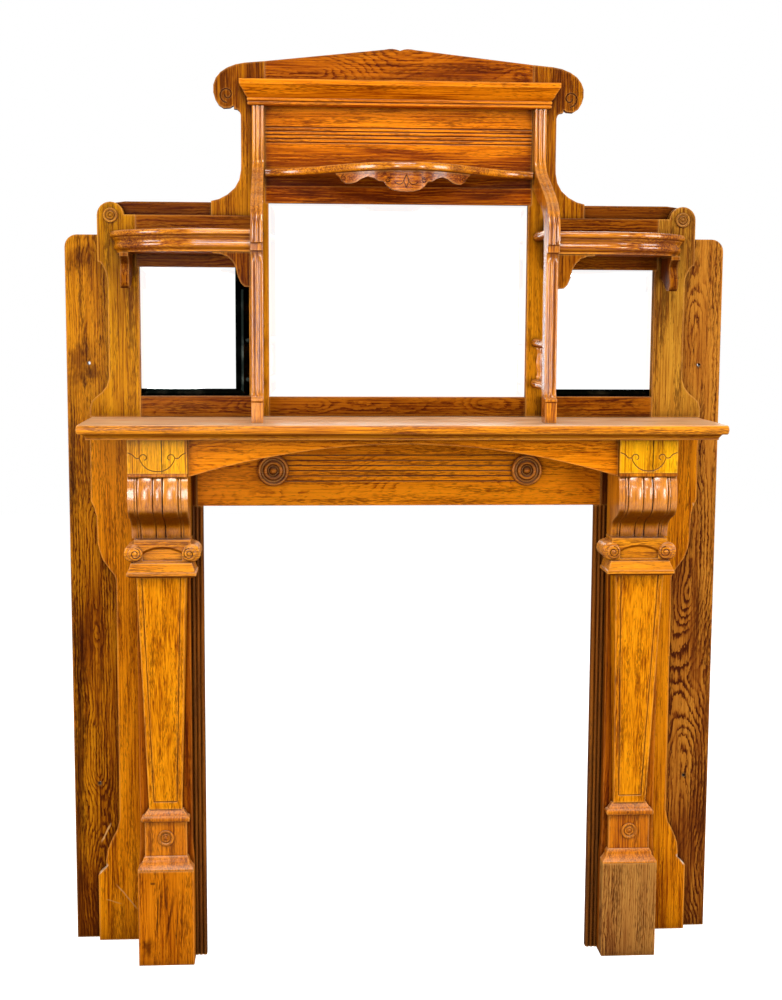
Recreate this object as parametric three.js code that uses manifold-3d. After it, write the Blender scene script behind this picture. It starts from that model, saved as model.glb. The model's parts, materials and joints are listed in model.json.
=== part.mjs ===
// Oak fireplace mantel with a mirrored overmantel, in millimetres.
// X runs to the viewer's right, Y runs away from the viewer and Z runs up.
// Depths below are measured back from the front edge of the mantel shelf.
// Widths called HALF or ending in _X are measured sideways from the middle.
import * as THREE from "three";
import Module from "manifold-3d";

const wasm = await Module();
wasm.setup();

// Overall layers
const DEPTH = 328;
const BACK_THICK = 24;
const PIER_THICK = 22;
const STILE_THICK = 24;
const LAYER_C = DEPTH - BACK_THICK; // face of the back boards
const LAYER_B = LAYER_C - PIER_THICK; // face of the pier boards and crested stiles
const LAYER_A = LAYER_B - STILE_THICK; // face of the wing frames
const SEAM = 0.3; // clearance between neighbouring pieces
const CURVE_STEPS = 6;
const WELD_STEPS = 2000; // corners closer than a millimetre divided by this are one corner

// Plan of the surround, from the fire opening outwards
const OPENING_HALF = 446.6;
const JAMB_STRIP = 13.4; // lining seen inside the frieze panel
const JAMB_WIDTH = 53.4;
const JAMB_TO_PILASTER = 36; // from the lining's outer edge to the middle of a pilaster

// Back boards
const BACK_OUTER_X = 762;
const BACK_INNER_X = 600;
const BACK_TOP = 1667;
const BACK_CORNER = 28;
const HOLE_RADIUS = 4;
const HOLE_SIDES = 10;
const HOLE_HIGH = { x: 711.5, z: 1375 };
const HOLE_LOW = { x: 703, z: 380 };

// Pier boards: outer edge as distance from the middle and height
const PIER_INNER_X = OPENING_HALF + JAMB_WIDTH;
const PIER_EDGE = [
  [707.5, 0], [707.5, 162], [700, 170], [688, 180], [689, 197], [686, 220],
  [676, 246], [662, 272], [656, 300], [655, 872], [659, 884], [670, 898],
  [684, 918], [692, 940], [696, 960], [698, 1022], [702, 1040], [710, 1058],
];

// Mantel shelf
const SHELF_HALF = 704;
const SHELF_TOP = 1254;
const SHELF_BOARD = 20;
const SHELF_UNDER = 1221;
const SHELF_COVE_IN = 10;
const SHELF_FILLET_IN = 18;
const SHELF_FILLET_TOP = 1225.2;
const SHELF_COVE_MIDDLE = { inset: 13, z: 1232 };
const NOSING_SOFT = 3;
const NOSING_SWELL = 1;

// Pilasters
const PILASTER_X = OPENING_HALF + JAMB_WIDTH + JAMB_TO_PILASTER;
const BACKING_FACE = 162;
const BACKING_BACK = 184;
const BACKING_HALF = 60;
const BACKING_FLARE_LOW = 232;
const BACKING_FLARE_HIGH = 286;
const PLINTH_FACE = 127;
const PLINTH_HALF = 63.5;
const PLINTH_TOP = 224;
const DIE_FACE = 146;
const DIE_HALF = 48;
const DIE_TOP = 336;
const DIE_BOTTOM = 255;
const DIE_CAP_FACE = 143;
// Moulding under the die: share of the step out from the die, and height above the plinth
const CAP_PROFILE = [[1, SEAM], [1, 4], [0.7, 9.6], [0.34, 18.4], [0.34, 22.4], [0.16, 27.8], [0, 31]];
const BASE_TOP = 364;
const BASE_HALF = 55;
const BASE_FACE = 136;
// Moulding over the die: share of its step out, and height above the die
const BASE_PROFILE = [
  [0, -SEAM], [0.8, 2], [1, 6], [1, 10], [0.7, 13], [0.1, 15], [-0.2, 19], [-0.9, 25], [-1, 28],
];
const SHAFT_TOP = 911;
const SHAFT_TOP_HALF = 54.5;
const SHAFT_TOP_FACE = 98;
const SHAFT_FOOT_HALF = 37.5;
const SHAFT_FOOT_FACE = 147;
const GROOVE_INSET = 12;
const GROOVE_FOOT = 18;
const GROOVE_WIDTH = 4;
const GROOVE_DEPTH = 2.5;
const GROOVE_OVER = 1; // how far a groove's cutter stands out of the face
const NECK_TOP = 943;
const NECK_HALF = 76.5;
const NECK_FACE = 76;
// Necking: step out from its widest line, and height above the shaft
const NECK_PROFILE = [[-9, 0], [0, 5], [0, 11], [-3, 13], [-4, 17], [-9, 30], [-9, 32]];
const SIDE_BOARD_LAP = 1;
const SIDE_BOARD_OUTER = PILASTER_X + BACKING_HALF + SIDE_BOARD_LAP;
const SIDE_BOARD_THICK = 20;

// Bullseyes: shares of the radius and of the rise, from the back round to the front centre
const EYE_RINGS = [
  [0, -0.5], [1, -0.5], [1, 0.45], [0.92, 0.8], [0.76, 0.8],
  [0.68, 0.2], [0.58, 0.2], [0.5, 0.7], [0.36, 0.5], [0, 1.15],
];
const DIE_EYE_Z = 297;
const DIE_EYE_RADIUS = 18;
const EYE_RISE = 4;
const EYE_SIDES = 14;

// Scroll capital
const CAPITAL_INWARD = 4;
const CAPITAL_X = PILASTER_X - CAPITAL_INWARD;
const CAPITAL_FACE = 87;
const CAPITAL_TOP = 994.2;
const VOLUTE_SPREAD = 64;
const VOLUTE_Z = 965;
const VOLUTE_RISE = 4;
const VOLUTE_SIDES = 13;
// Front of each volute: radius and rise, from its edge to its centre
const VOLUTE_FRONT = [[20, 0], [14.5, 0.5], [13.5, 4], [9.5, 4], [8, 1], [6, 3.5], [0, 4]];
const CAPITAL_BAR_HALF = 62;
const CAPITAL_BAR = 8;
const CRESCENT_HALF = 43;
const CRESCENT_DEPTH = 5;
const CRESCENT_RADIUS = 92;
const CRESCENT_EDGE = 6;
const CRESCENT_TOP = 980;
const CRESCENT_LOW = 948;
const CRESCENT_SIDES = 32;

// Consoles and frieze blocks
const BLOCK_HALF = 64.5;
const BLOCK_FACE = 35;
const BLOCK_BOTTOM = 1146.5;
const CONSOLE_BOTTOM = 994.5;
const CONSOLE_SIDE = [
  [117, 994.5], [112, 1016], [100, 1031], [76, 1043], [50, 1053], [37, 1064],
  [32, 1077], [31, 1094], [34, 1117], [40, 1138], [34, 1140], [34, 1146.2],
];
// Reeds across half of a console: distance from its middle and depth sunk
const CONSOLE_REEDS = [
  [0, -2.5], [9, -2], [10.6, 1.5], [13.5, -2.2], [27, -4.5], [41, -2.2],
  [44, 1.5], [46, -0.5], [49.2, 1.2], [51.2, 0], [64.5, 0],
];
const CONSOLE_FILLET = 1139;

// Incised line on the frieze blocks: half of the figure, from the middle out
const BLOCK_LINE = [
  [0, 1151], [14, 1153], [26, 1160], [34, 1170], [38, 1181], [33, 1188], [25, 1187], [22, 1180],
  [27, 1176],
];
const BLOCK_STEP_LINE = [[38, 1180], [46, 1180], [52, 1187], [63, 1192]];
const LINE_WIDTH = 3;
const LINE_DEPTH = 2;
const LINE_SAMPLES = 1.15; // samples for each point of a line

// Opening surround
const OPENING_TOP = 1058;
const JAMB_FACE = 184.3;
const JAMB_THICK = 19.7;
const JAMB_STRIP_X = OPENING_HALF + JAMB_STRIP;
const JAMB_OUTER_X = OPENING_HALF + JAMB_WIDTH;
const JAMB_REED = 4.6;
const JAMB_REEDS = 3;
// One jamb reed: distance across and depth sunk, as shares of JAMB_REED
const JAMB_REED_SHAPE = [[0.3, 0.3], [1, 0], [1.7, 0.3], [2, 0.8]];
const PANEL_FACE = 186;
const PANEL_THICK = 20;
const FRIEZE_REEDS = 6;
const FRIEZE_REED_LOW = 1114;
const FRIEZE_REED_HIGH = 1173;
const FRIEZE_REED_SHORT = 184.6; // the reeds end this far inside the opening's edge
const FRIEZE_REED_HALF = OPENING_HALF - FRIEZE_REED_SHORT;
const ROUNDEL_PAST = 26.3; // from the end of the reeds to the middle of a roundel
const ROUNDEL_X = FRIEZE_REED_HALF + ROUNDEL_PAST;
const ROUNDEL_Z = 1138.5;
const ROUNDEL_RADIUS = 35;
const ROUNDEL_RISE = 14;
const ROUNDEL_SIDES = 17;
const ROUNDEL_RINGS = [
  [0, 0.02], [1, 0.02], [1, 0.4], [0.93, 0.75], [0.82, 0.75], [0.74, 0.35], [0.62, 0.35], [0.55, 0.8],
  [0.44, 0.8], [0.33, 0.4], [0.16, 0.95], [0, 1],
];
const ARCH_FACE = 47;
const ARCH_THICK = 22;
const ARCH_CROWN = 1209;
const ARCH_END = 1138;
const ARCH_HALF = PILASTER_X - BLOCK_HALF - SEAM; // fits between the frieze blocks
const ARCH_STEPS = 24;

// Wing frames of the overmantel
const STILE_INNER_X = 590;
const STILE_STEP_X = 596;
const STILE_OUTER_X = 682.5;
const EAR_X = 652.3;
const EAR_Z = 1708;
const EAR_RADIUS = 30.2;
const EAR_EYE_RADIUS = 16;
const STILE_EDGE = [
  [705.5, 0], [705.5, 22], [701, 36], [690, 47], [678, 56], [667, 70], [662, 86],
  [661, 98], [661, 310], [664, 326], [671, 342], [676, 349], [682.5, 351],
];
const WING_RAIL_TOP = 1710;
const SIGHT_TOP = 1594;
const WING_SIGHT_BOTTOM = 1302;
const WING_RAIL_END_X = 334;
const WING_BACK_FACE = 288;
const WING_BACK_OUTER_X = 655;
const WING_BACK_TOP = 1741;
const WING_BACK_END_Z = 1737; // the board's top falls a little behind the ear
const GLASS = 4;
const GLASS_LAP = 5;
const GLASS_BEVEL = 20;
const GLASS_BEVEL_DEPTH = 1.6;

// Crested stiles and crest
const CREST_STILE_X = 343;
const CREST_SIGHT_X = 298;
const CREST_SEAM_X = 305;
const SHOULDER_BOTTOM = 1600;
const CREST_EDGE = [
  [428, 1743.5], [410, 1748], [391, 1758], [374, 1773], [364, 1791], [360, 1812], [359.5, 1830],
  [359.5, 1936], [362, 1943], [368, 1948], [375, 1949], [375, 1956], [384, 1951], [398, 1950], [409, 1957],
  [417, 1970], [421, 1984], [421, 2001], [415.5, 2016], [405, 2029], [390, 2039],
  [371, 2046.5], [350, 2050.5],
];
const CREST_SEAM_RISE = 4.1;
const CREST_SEAM_Z = CREST_EDGE[CREST_EDGE.length - 1][1] + CREST_SEAM_RISE;
const CREST_HUMP = [[36, 2083.5], [26, 2085.2], [17, 2085.6], [9, 2084.6], [4, 2083]];
const CREST_NOTCH_Z = 2081.5;
const CREST_TALL = 94.6;
const CREST_BOTTOM = CREST_SEAM_Z - CREST_TALL;
const SCROLL_X = 390.5;
const SCROLL_Z = 1980;
const SCROLL_RADIUS = 18;
const SCROLL_CLOSE = 0.75; // share of its radius that the spiral winds in
const SCROLL_TURNS = 1.25;
const SCROLL_STEPS = 12;
const UPPER_PANEL_FACE = 288;
const MIRROR_TOP = 1740;
const MIRROR_RAIL_TOP = 1779;
const MIRROR_BOTTOM = 1299;
const UPPER_REEDS = 5;
const UPPER_REED_LOW = 1876;
const UPPER_REED_HIGH = 1910;
const CENTRE_BACK_HALF = 342;

// Cornice: outward step of the moulding and height, from the bottom up
const CORNICE_HALF = 341;
const CORNICE_FACE = 261;
const CORNICE_PROFILE = [
  [0, 1955], [3, 1957.5], [3, 1961], [0.5, 1963], [4, 1965.5], [4, 1969], [2, 1971], [5, 1974], [9, 1979],
  [12, 1986], [17, 1994], [20, 1998], [21, 1999], [21, 2010],
];

// Serpentine shelf
const SERP_TOP = 1815;
const SERP_THICK = 17;
const SERP_CLEARANCE = 0.4;
const SERP_HALF = CREST_SEAM_X - SERP_CLEARANCE;
const SERP_SIDE_FACE = 262;
const SERP_CROWN_FACE = 50;
const SERP_STEPS = 24;
const SERP_SOFT = 4;
const SERP_SWELL = 1.08; // above one, the swell keeps fuller in the middle
const APRON_SET_BACK = 12;
const APRON_THICK = 18;
const APRON_EDGE = [
  [0, 1752.5], [15, 1753.2], [30, 1757], [41, 1765], [47, 1774], [58, 1775.5], [68, 1782], [81, 1786],
  [93, 1782.5], [105, 1775.5], [116, 1773], [127, 1774], [137, 1781.5], [141, 1789], [149, 1796.8],
];

// Wing shelves and their brackets
const WING_SHELF_TOP = 1671;
const WING_SHELF_OUTER_X = 654;
const WING_SHELF_INNER_X = 334.5;
const WING_SHELF_STRAIGHT_X = 440;
const WING_SHELF_FACE = 60;
const WING_SHELF_PROFILE = [
  [5, 1671], [1, 1668], [0, 1661], [2, 1655], [7, 1652], [12, 1650], [15, 1647], [13, 1644],
  [12, 1636], [14, 1628], [18, 1623],
];
const WING_ARC_STEPS = 10;
const INNER_BRACKET_FACE = 78;
const INNER_BRACKET_THICK = 20;
const INNER_BRACKET_EDGE = [
  [334.3, 1547], [348, 1548], [356, 1556], [362, 1570], [366, 1588], [373, 1601],
  [384, 1612], [400, 1618], [416, 1619], [416, 1622.7], [334.3, 1622.7],
];
const OUTER_BRACKET_X = 603.5;
const OUTER_BRACKET_THICK = 20;
const OUTER_BRACKET_EDGE = [
  [257.7, 1572], [232, 1566], [212, 1552], [196, 1546], [180, 1545], [171, 1549], [166, 1558], [167, 1572],
  [174, 1586], [176, 1598], [168, 1609], [156, 1614], [156, 1622.7], [257.7, 1622.7],
];

// Front posts: depth of the front, depth of the back and height
const POST_INNER_X = 308;
const POST_OUTER_X = 334;
const POST_SIDE = [
  [60, 108, 1254], [60, 108, 1299], [57, 108, 1302], [57, 108, 1307], [70, 110, 1311], [72, 110, 1320],
  [73, 111, 1336], [73, 114, 1600], [72, 114, 1616], [71, 114, 1623.5], [58, 114, 1625], [58, 114, 1640],
  [52, 114, 1642], [51, 115, 1660], [53, 117, 1680], [57, 123, 1697], [66, 136, 1713], [84, 170, 1731],
  [120, 232, 1752], [171, 281.7, 1776], [222, 281.7, 1800], [250, 281.7, 1816], [262, 281.7, 1836],
  [264, 281.7, 1900], [263, 281.7, 1954.7],
];
const POST_REED_FLOOR = 1642;
const POST_FLUTE_LOW = 1318;
const POST_FLUTE_HIGH = 1612;
const POST_ACROSS = [-13, -9.5, -4.8, -2.6, 0, 2.6, 4.8, 9.5, 13];
const POST_REED_CUT = [0.6, 0, 4, 0.9, 0, 0.9, 4, 0, 0.6];
const POST_FLUTE_CUT = [0, 0.2, 3.4, 0.8, 0, 0.8, 3.4, 0.2, 0];

// Rails and spindles between each post and its stile
const RAIL_X = 320;
const RAIL_HALF = 11;
const RAIL_HIGH = 20;
const RAIL_START = 118;
const UPPER_RAIL_Z = 1669;
const MIDDLE_RAIL_Z = 1426;
const LOWER_RAIL_Z = 1332;
const SPINDLE_DEPTHS = [170, 227];
const SPINDLE_TURNING = [[4, 0], [6, 0.1], [3.6, 0.2], [6.4, 0.5], [3.6, 0.8], [6, 0.9], [4, 1]];
const SPINDLE_SIDES = 8;
const SPINDLE_LET_IN = 1; // depth that a spindle's ends go into the rails

const OAK = { color: 0xb8731f, roughness: 0.42, metalness: 0 };
const DARK_OAK = { color: 0x7c4516, roughness: 0.45, metalness: 0 };
const MIRROR = { color: 0xdde1e2, roughness: 0.04, metalness: 0.9 };

const mantel = new THREE.Group();
mantel.name = "mantel";
mantel.position.set(0, -DEPTH / 2, 0);

// Adds one named piece with its own material.
function addPiece(name, geometry, look = OAK) {
  const mesh = new THREE.Mesh(geometry, new THREE.MeshStandardMaterial(look));
  mesh.name = name;
  mantel.add(mesh);
}

// A geometry from a flat list of numbers, nine for each triangle.
function fromTriangles(numbers) {
  const geometry = new THREE.BufferGeometry();
  geometry.setAttribute("position", new THREE.BufferAttribute(new Float32Array(numbers), 3));
  return geometry;
}

// Adds a four-cornered face to a list of numbers as two triangles.
function addQuad(numbers, a, b, c, d) {
  numbers.push(...a, ...b, ...c, ...a, ...c, ...d);
}

// Turns a geometry into a solid that can be joined and cut.
function toSolid(geometry) {
  const flat = geometry.index ? geometry.toNonIndexed() : geometry;
  const points = flat.getAttribute("position").array;
  const slots = new Map();
  const vertProperties = [];
  const triVerts = new Uint32Array(points.length / 3);
  for (let i = 0; i < triVerts.length; i += 1) {
    const corner = [points[3 * i], points[3 * i + 1], points[3 * i + 2]];
    const key = corner.map((value) => Math.round(value * WELD_STEPS)).join(",");
    if (!slots.has(key)) {
      slots.set(key, slots.size);
      vertProperties.push(...corner);
    }
    triVerts[i] = slots.get(key);
  }
  const mesh = new wasm.Mesh({ numProp: 3, vertProperties: new Float32Array(vertProperties), triVerts });
  return new wasm.Manifold(mesh);
}

// Turns a solid back into a geometry.
function toGeometry(solid) {
  const mesh = solid.getMesh();
  const geometry = new THREE.BufferGeometry();
  geometry.setAttribute("position", new THREE.BufferAttribute(new Float32Array(mesh.vertProperties), 3));
  geometry.setIndex(new THREE.BufferAttribute(new Uint32Array(mesh.triVerts), 1));
  return geometry;
}

// Joins geometries into one.
function join(geometries) {
  return toGeometry(geometries.map(toSolid).reduce((whole, part) => whole.add(part)));
}

// Cuts the later geometries out of the first.
function cut(body, cutters) {
  return toGeometry(cutters.map(toSolid).reduce((whole, part) => whole.subtract(part), toSolid(body)));
}

// A closed outline as a shape.
function outline(points) {
  return new THREE.Shape(points.map(([x, y]) => new THREE.Vector2(x, y)));
}

// A board drawn as seen from the front, from depth y0 back to depth y1.
function frontBoard(points, y0, y1, holes = []) {
  const shape = outline(points);
  shape.holes = holes;
  const geometry = new THREE.ExtrudeGeometry(shape, { depth: y1 - y0, bevelEnabled: false });
  geometry.rotateX(Math.PI / 2);
  geometry.translate(0, y1, 0);
  return geometry;
}

// A board drawn as seen from its end, depth across and height up, from x0 to x1.
function endBoard(points, x0, x1) {
  const geometry = new THREE.ExtrudeGeometry(outline(points), { depth: x1 - x0, bevelEnabled: false });
  const axes = new THREE.Matrix4().makeBasis(
    new THREE.Vector3(0, 1, 0),
    new THREE.Vector3(0, 0, 1),
    new THREE.Vector3(1, 0, 0),
  );
  geometry.applyMatrix4(axes);
  geometry.translate(x0, 0, 0);
  return geometry;
}

// A board drawn as seen from above, from height z0 up to z1.
function planBoard(points, z0, z1) {
  const geometry = new THREE.ExtrudeGeometry(outline(points), { depth: z1 - z0, bevelEnabled: false });
  geometry.translate(0, 0, z0);
  return geometry;
}

// A plain rectangular piece between two corners.
function box(x0, x1, y0, y1, z0, z1) {
  const geometry = new THREE.BoxGeometry(x1 - x0, y1 - y0, z1 - z0);
  geometry.translate((x0 + x1) / 2, (y0 + y1) / 2, (z0 + z1) / 2);
  return geometry;
}

// Mirrors a geometry to the other side of the middle and turns its faces out again.
function otherSide(geometry) {
  const flat = geometry.index ? geometry.toNonIndexed() : geometry.clone();
  const points = flat.getAttribute("position").array;
  const turned = new Float32Array(points.length);
  for (let i = 0; i < points.length; i += 9) {
    [0, 6, 3].forEach((from, corner) => {
      turned[i + 3 * corner] = -points[i + from];
      turned[i + 3 * corner + 1] = points[i + from + 1];
      turned[i + 3 * corner + 2] = points[i + from + 2];
    });
  }
  return fromTriangles(turned);
}

// Adds the right-hand piece and its mirror image on the left.
function addPair(name, geometry, look = OAK) {
  addPiece(`${name}_right`, geometry, look);
  addPiece(`${name}_left`, otherSide(geometry), look);
}

// Skins a stack of rings, each with the same count of corners, lowest first.
function stackRings(rings) {
  const numbers = [];
  for (let level = 0; level < rings.length - 1; level += 1) {
    rings[level].forEach((corner, i) => {
      const j = (i + 1) % rings[level].length;
      addQuad(numbers, corner, rings[level][j], rings[level + 1][j], rings[level + 1][i]);
    });
  }
  addCap(numbers, rings[0], false);
  addCap(numbers, rings[rings.length - 1], true);
  return fromTriangles(numbers);
}

// Closes a level ring with triangles that face up or down.
function addCap(numbers, ring, facesUp) {
  const flat = ring.map(([x, y]) => new THREE.Vector2(x, y));
  THREE.ShapeUtils.triangulateShape(flat, []).forEach(([a, b, c]) => {
    const order = facesUp ? [a, b, c] : [c, b, a];
    order.forEach((index) => numbers.push(...ring[index]));
  });
}

// A moulding that returns round both ends and is flat at the back.
function threeSided(middle, half, face, back, steps) {
  const ring = ([out, z]) => [
    [middle - half - out, back, z],
    [middle - half - out, face - out, z],
    [middle + half + out, face - out, z],
    [middle + half + out, back, z],
  ];
  return stackRings(steps.map(ring));
}

// A solid with a worked front: rows run up, each row lists front points and one back depth.
function workedFront(rows) {
  const rings = rows.map(({ front, back }) => {
    const first = front[0];
    const last = front[front.length - 1];
    return [...front, [last[0], back, last[2]], [first[0], back, first[2]]];
  });
  return stackRings(rings);
}

// A turned disc facing the viewer; the profile lists radius and rise from the face.
function turnedDisc(profile, sides, x, face, z) {
  const geometry = new THREE.LatheGeometry(profile.map(([r, rise]) => new THREE.Vector2(r, rise)), sides);
  geometry.rotateX(Math.PI);
  geometry.translate(x, face, z);
  return geometry;
}

// Sizes a list of rings given as shares of a radius and a rise.
function ringProfile(rings, radius, rise) {
  return rings.map(([acrossShare, riseShare]) => [radius * acrossShare, rise * riseShare]);
}

// A thin V cutter that follows points on a face; x and z of each point, face depth given.
function lineCutter(points, face) {
  const corners = points.map(([x, z]) => new THREE.Vector3(x, face, z));
  const curve = new THREE.CatmullRomCurve3(corners, false, "centripetal");
  const samples = curve.getPoints(Math.round(points.length * LINE_SAMPLES));
  const rings = samples.map((point, i) => {
    const before = samples[Math.max(i - 1, 0)];
    const after = samples[Math.min(i + 1, samples.length - 1)];
    const along = new THREE.Vector3().subVectors(after, before).normalize();
    const side = new THREE.Vector3(along.z, 0, -along.x).multiplyScalar(LINE_WIDTH / 2);
    return [
      [point.x + side.x, face - SEAM, point.z + side.z],
      [point.x, face + LINE_DEPTH, point.z],
      [point.x - side.x, face - SEAM, point.z - side.z],
    ];
  });
  return facingOut(sweepSections(rings));
}

// Skins a row of like sections and closes both ends with fans.
function sweepSections(sections) {
  const numbers = [];
  for (let i = 0; i < sections.length - 1; i += 1) {
    sections[i].forEach((corner, k) => {
      const next = (k + 1) % sections[i].length;
      addQuad(numbers, corner, sections[i][next], sections[i + 1][next], sections[i + 1][k]);
    });
  }
  const first = sections[0];
  const last = sections[sections.length - 1];
  for (let k = 1; k < first.length - 1; k += 1) {
    numbers.push(...first[k + 1], ...first[k], ...first[0]);
    numbers.push(...last[0], ...last[k], ...last[k + 1]);
  }
  return fromTriangles(numbers);
}

// Turns a closed geometry right side out if its volume comes out negative.
function facingOut(geometry) {
  if (toSolid(geometry).volume() > 0) return geometry;
  const points = geometry.getAttribute("position").array;
  for (let i = 0; i < points.length; i += 9) {
    for (let k = 0; k < 3; k += 1) {
      [points[i + k], points[i + 3 + k]] = [points[i + 3 + k], points[i + k]];
    }
  }
  return geometry;
}

// Full-height boards at the back, each with two screw holes.
function buildBackBoards() {
  const corner = [];
  for (let i = 0; i <= CURVE_STEPS; i += 1) {
    const angle = (Math.PI / 2) * (i / CURVE_STEPS);
    corner.push([
      BACK_OUTER_X - BACK_CORNER + BACK_CORNER * Math.cos(angle),
      BACK_TOP - BACK_CORNER + BACK_CORNER * Math.sin(angle),
    ]);
  }
  const edge = [[BACK_INNER_X, 0], [BACK_OUTER_X, 0], ...corner, [BACK_INNER_X, BACK_TOP]];
  const holes = [HOLE_HIGH, HOLE_LOW].map(({ x, z }) => {
    const path = new THREE.Path();
    path.absarc(x, z, HOLE_RADIUS, 0, 2 * Math.PI, true);
    return new THREE.Path(path.getSpacedPoints(HOLE_SIDES));
  });
  addPair("back_board", frontBoard(edge, LAYER_C, DEPTH, holes));
}

// Shaped boards behind the pilasters.
function buildPierBoards() {
  const topX = PIER_EDGE[PIER_EDGE.length - 1][0];
  const edge = [[PIER_INNER_X, 0], ...PIER_EDGE, [topX, SHELF_UNDER], [PIER_INNER_X, SHELF_UNDER]];
  addPair("pier_board", frontBoard(edge, LAYER_B, LAYER_C - SEAM));
}

// Flat board that carries each pilaster, and the board that closes its outer side.
function buildPilasterBoards() {
  const middle = PILASTER_X;
  const edge = [
    [middle - PLINTH_HALF, 0], [middle + PLINTH_HALF, 0], [middle + PLINTH_HALF, BACKING_FLARE_LOW],
    [middle + BACKING_HALF, BACKING_FLARE_HIGH], [middle + BACKING_HALF, SHELF_UNDER],
    [middle - BACKING_HALF, SHELF_UNDER], [middle - BACKING_HALF, BACKING_FLARE_HIGH],
    [middle - PLINTH_HALF, BACKING_FLARE_LOW],
  ];
  addPair("pilaster_backing", frontBoard(edge, BACKING_FACE, BACKING_BACK));
  const inner = SIDE_BOARD_OUTER - SIDE_BOARD_THICK;
  addPair("pilaster_side", box(inner, SIDE_BOARD_OUTER, BACKING_BACK + SEAM, LAYER_B - SEAM, 0, SHELF_UNDER));
}

// Plinth block at the foot of each pilaster.
function buildPlinths() {
  const low = PILASTER_X - PLINTH_HALF;
  const high = PILASTER_X + PLINTH_HALF;
  addPair("plinth_block", box(low, high, PLINTH_FACE, BACKING_FACE - SEAM, 0, PLINTH_TOP));
}

// Pedestal die: stepped cap of the plinth, square block with a bullseye, and the moulding above.
function buildDies() {
  const back = BACKING_FACE - SEAM;
  const reach = PLINTH_HALF - DIE_HALF;
  const capSteps = CAP_PROFILE.map(([share, rise]) => [reach * share, PLINTH_TOP + rise]);
  const lift = BASE_HALF - DIE_HALF;
  const baseSteps = BASE_PROFILE.map(([share, rise]) => [lift * share, DIE_TOP + rise]);
  const cap = threeSided(PILASTER_X, DIE_HALF, DIE_CAP_FACE, back, capSteps);
  const block = box(PILASTER_X - DIE_HALF, PILASTER_X + DIE_HALF, DIE_FACE, back, DIE_BOTTOM - SEAM, DIE_TOP);
  const base = threeSided(PILASTER_X, DIE_HALF, BASE_FACE + lift, back, baseSteps);
  const rings = ringProfile(EYE_RINGS, DIE_EYE_RADIUS, EYE_RISE);
  const eye = turnedDisc(rings, EYE_SIDES, PILASTER_X, DIE_FACE, DIE_EYE_Z);
  addPair("pedestal_die", join([block, cap, base, eye]));
}

// Tapering shaft with a sunk line round its face.
function buildShafts() {
  const back = BACKING_FACE - SEAM;
  const ring = (half, face, z) => [
    [PILASTER_X - half, back, z],
    [PILASTER_X - half, face, z],
    [PILASTER_X + half, face, z],
    [PILASTER_X + half, back, z],
  ];
  const bottom = BASE_TOP + SEAM;
  const body = stackRings([
    ring(SHAFT_FOOT_HALF, SHAFT_FOOT_FACE, bottom),
    ring(SHAFT_TOP_HALF, SHAFT_TOP_FACE, SHAFT_TOP - SEAM),
  ]);
  const faceAt = (z) => {
    const share = (z - bottom) / (SHAFT_TOP - bottom);
    return SHAFT_FOOT_FACE + (SHAFT_TOP_FACE - SHAFT_FOOT_FACE) * share;
  };
  const edgeAt = (z) => {
    const share = (z - bottom) / (SHAFT_TOP - bottom);
    return SHAFT_FOOT_HALF + (SHAFT_TOP_HALF - SHAFT_FOOT_HALF) * share - GROOVE_INSET;
  };
  const low = bottom + GROOVE_FOOT;
  const high = SHAFT_TOP + GROOVE_FOOT;
  const sideGroove = (side) => {
    const section = (z) => {
      const x = PILASTER_X + side * edgeAt(z);
      return [
        [x - GROOVE_WIDTH / 2, faceAt(z) - GROOVE_OVER, z],
        [x + GROOVE_WIDTH / 2, faceAt(z) - GROOVE_OVER, z],
        [x, faceAt(z) + GROOVE_DEPTH, z],
      ];
    };
    return facingOut(stackRings([section(low), section(high)]));
  };
  const reach = edgeAt(low);
  const footGroove = endBoard(groovePoints(faceAt(low), low), PILASTER_X - reach, PILASTER_X + reach);
  addPair("pilaster_shaft", cut(body, [sideGroove(-1), sideGroove(1), facingOut(footGroove)]));
}

// Scroll capital on its necking.
function buildCapitals() {
  const back = BACKING_FACE - SEAM;
  const face = CAPITAL_FACE + VOLUTE_RISE;
  const neckSteps = NECK_PROFILE.map(([out, rise]) => [out, SHAFT_TOP + rise]);
  const neck = threeSided((CAPITAL_X + PILASTER_X) / 2, NECK_HALF, NECK_FACE, back, neckSteps);
  const left = CAPITAL_X - VOLUTE_SPREAD;
  const right = CAPITAL_X + VOLUTE_SPREAD;
  const barLow = CAPITAL_TOP - CAPITAL_BAR;
  const body = box(left, right, face, back, NECK_TOP - SEAM, barLow + SEAM);
  const barLeft = CAPITAL_X - CAPITAL_BAR_HALF;
  const barRight = CAPITAL_X + CAPITAL_BAR_HALF;
  const bar = box(barLeft, barRight, face, back, barLow, CAPITAL_TOP);
  const shaped = cut(join([body, bar]), [capitalHollow(face, back)]);
  const depth = face - back;
  const profile = [[0, depth], [VOLUTE_FRONT[0][0], depth], ...VOLUTE_FRONT];
  const rolls = [left, right].map((x) => turnedDisc(profile, VOLUTE_SIDES, x, face, VOLUTE_Z));
  addPair("scroll_capital", join([shaped, neck, ...rolls]));
}

// The arched hollow between the two volutes.
function capitalHollow(face, back) {
  const floorRadius = CRESCENT_RADIUS - CRESCENT_EDGE;
  const rings = [[0, -CRESCENT_DEPTH], [floorRadius, -CRESCENT_DEPTH], [CRESCENT_RADIUS, SEAM], [0, SEAM]];
  const disc = turnedDisc(rings, CRESCENT_SIDES, CAPITAL_X, face, CRESCENT_TOP - CRESCENT_RADIUS);
  const low = CAPITAL_X - CRESCENT_HALF;
  const high = CAPITAL_X + CRESCENT_HALF;
  const between = box(low, high, 0, back - SEAM, CRESCENT_LOW, CAPITAL_TOP - CAPITAL_BAR);
  return toGeometry(toSolid(disc).intersect(toSolid(between)));
}

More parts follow.
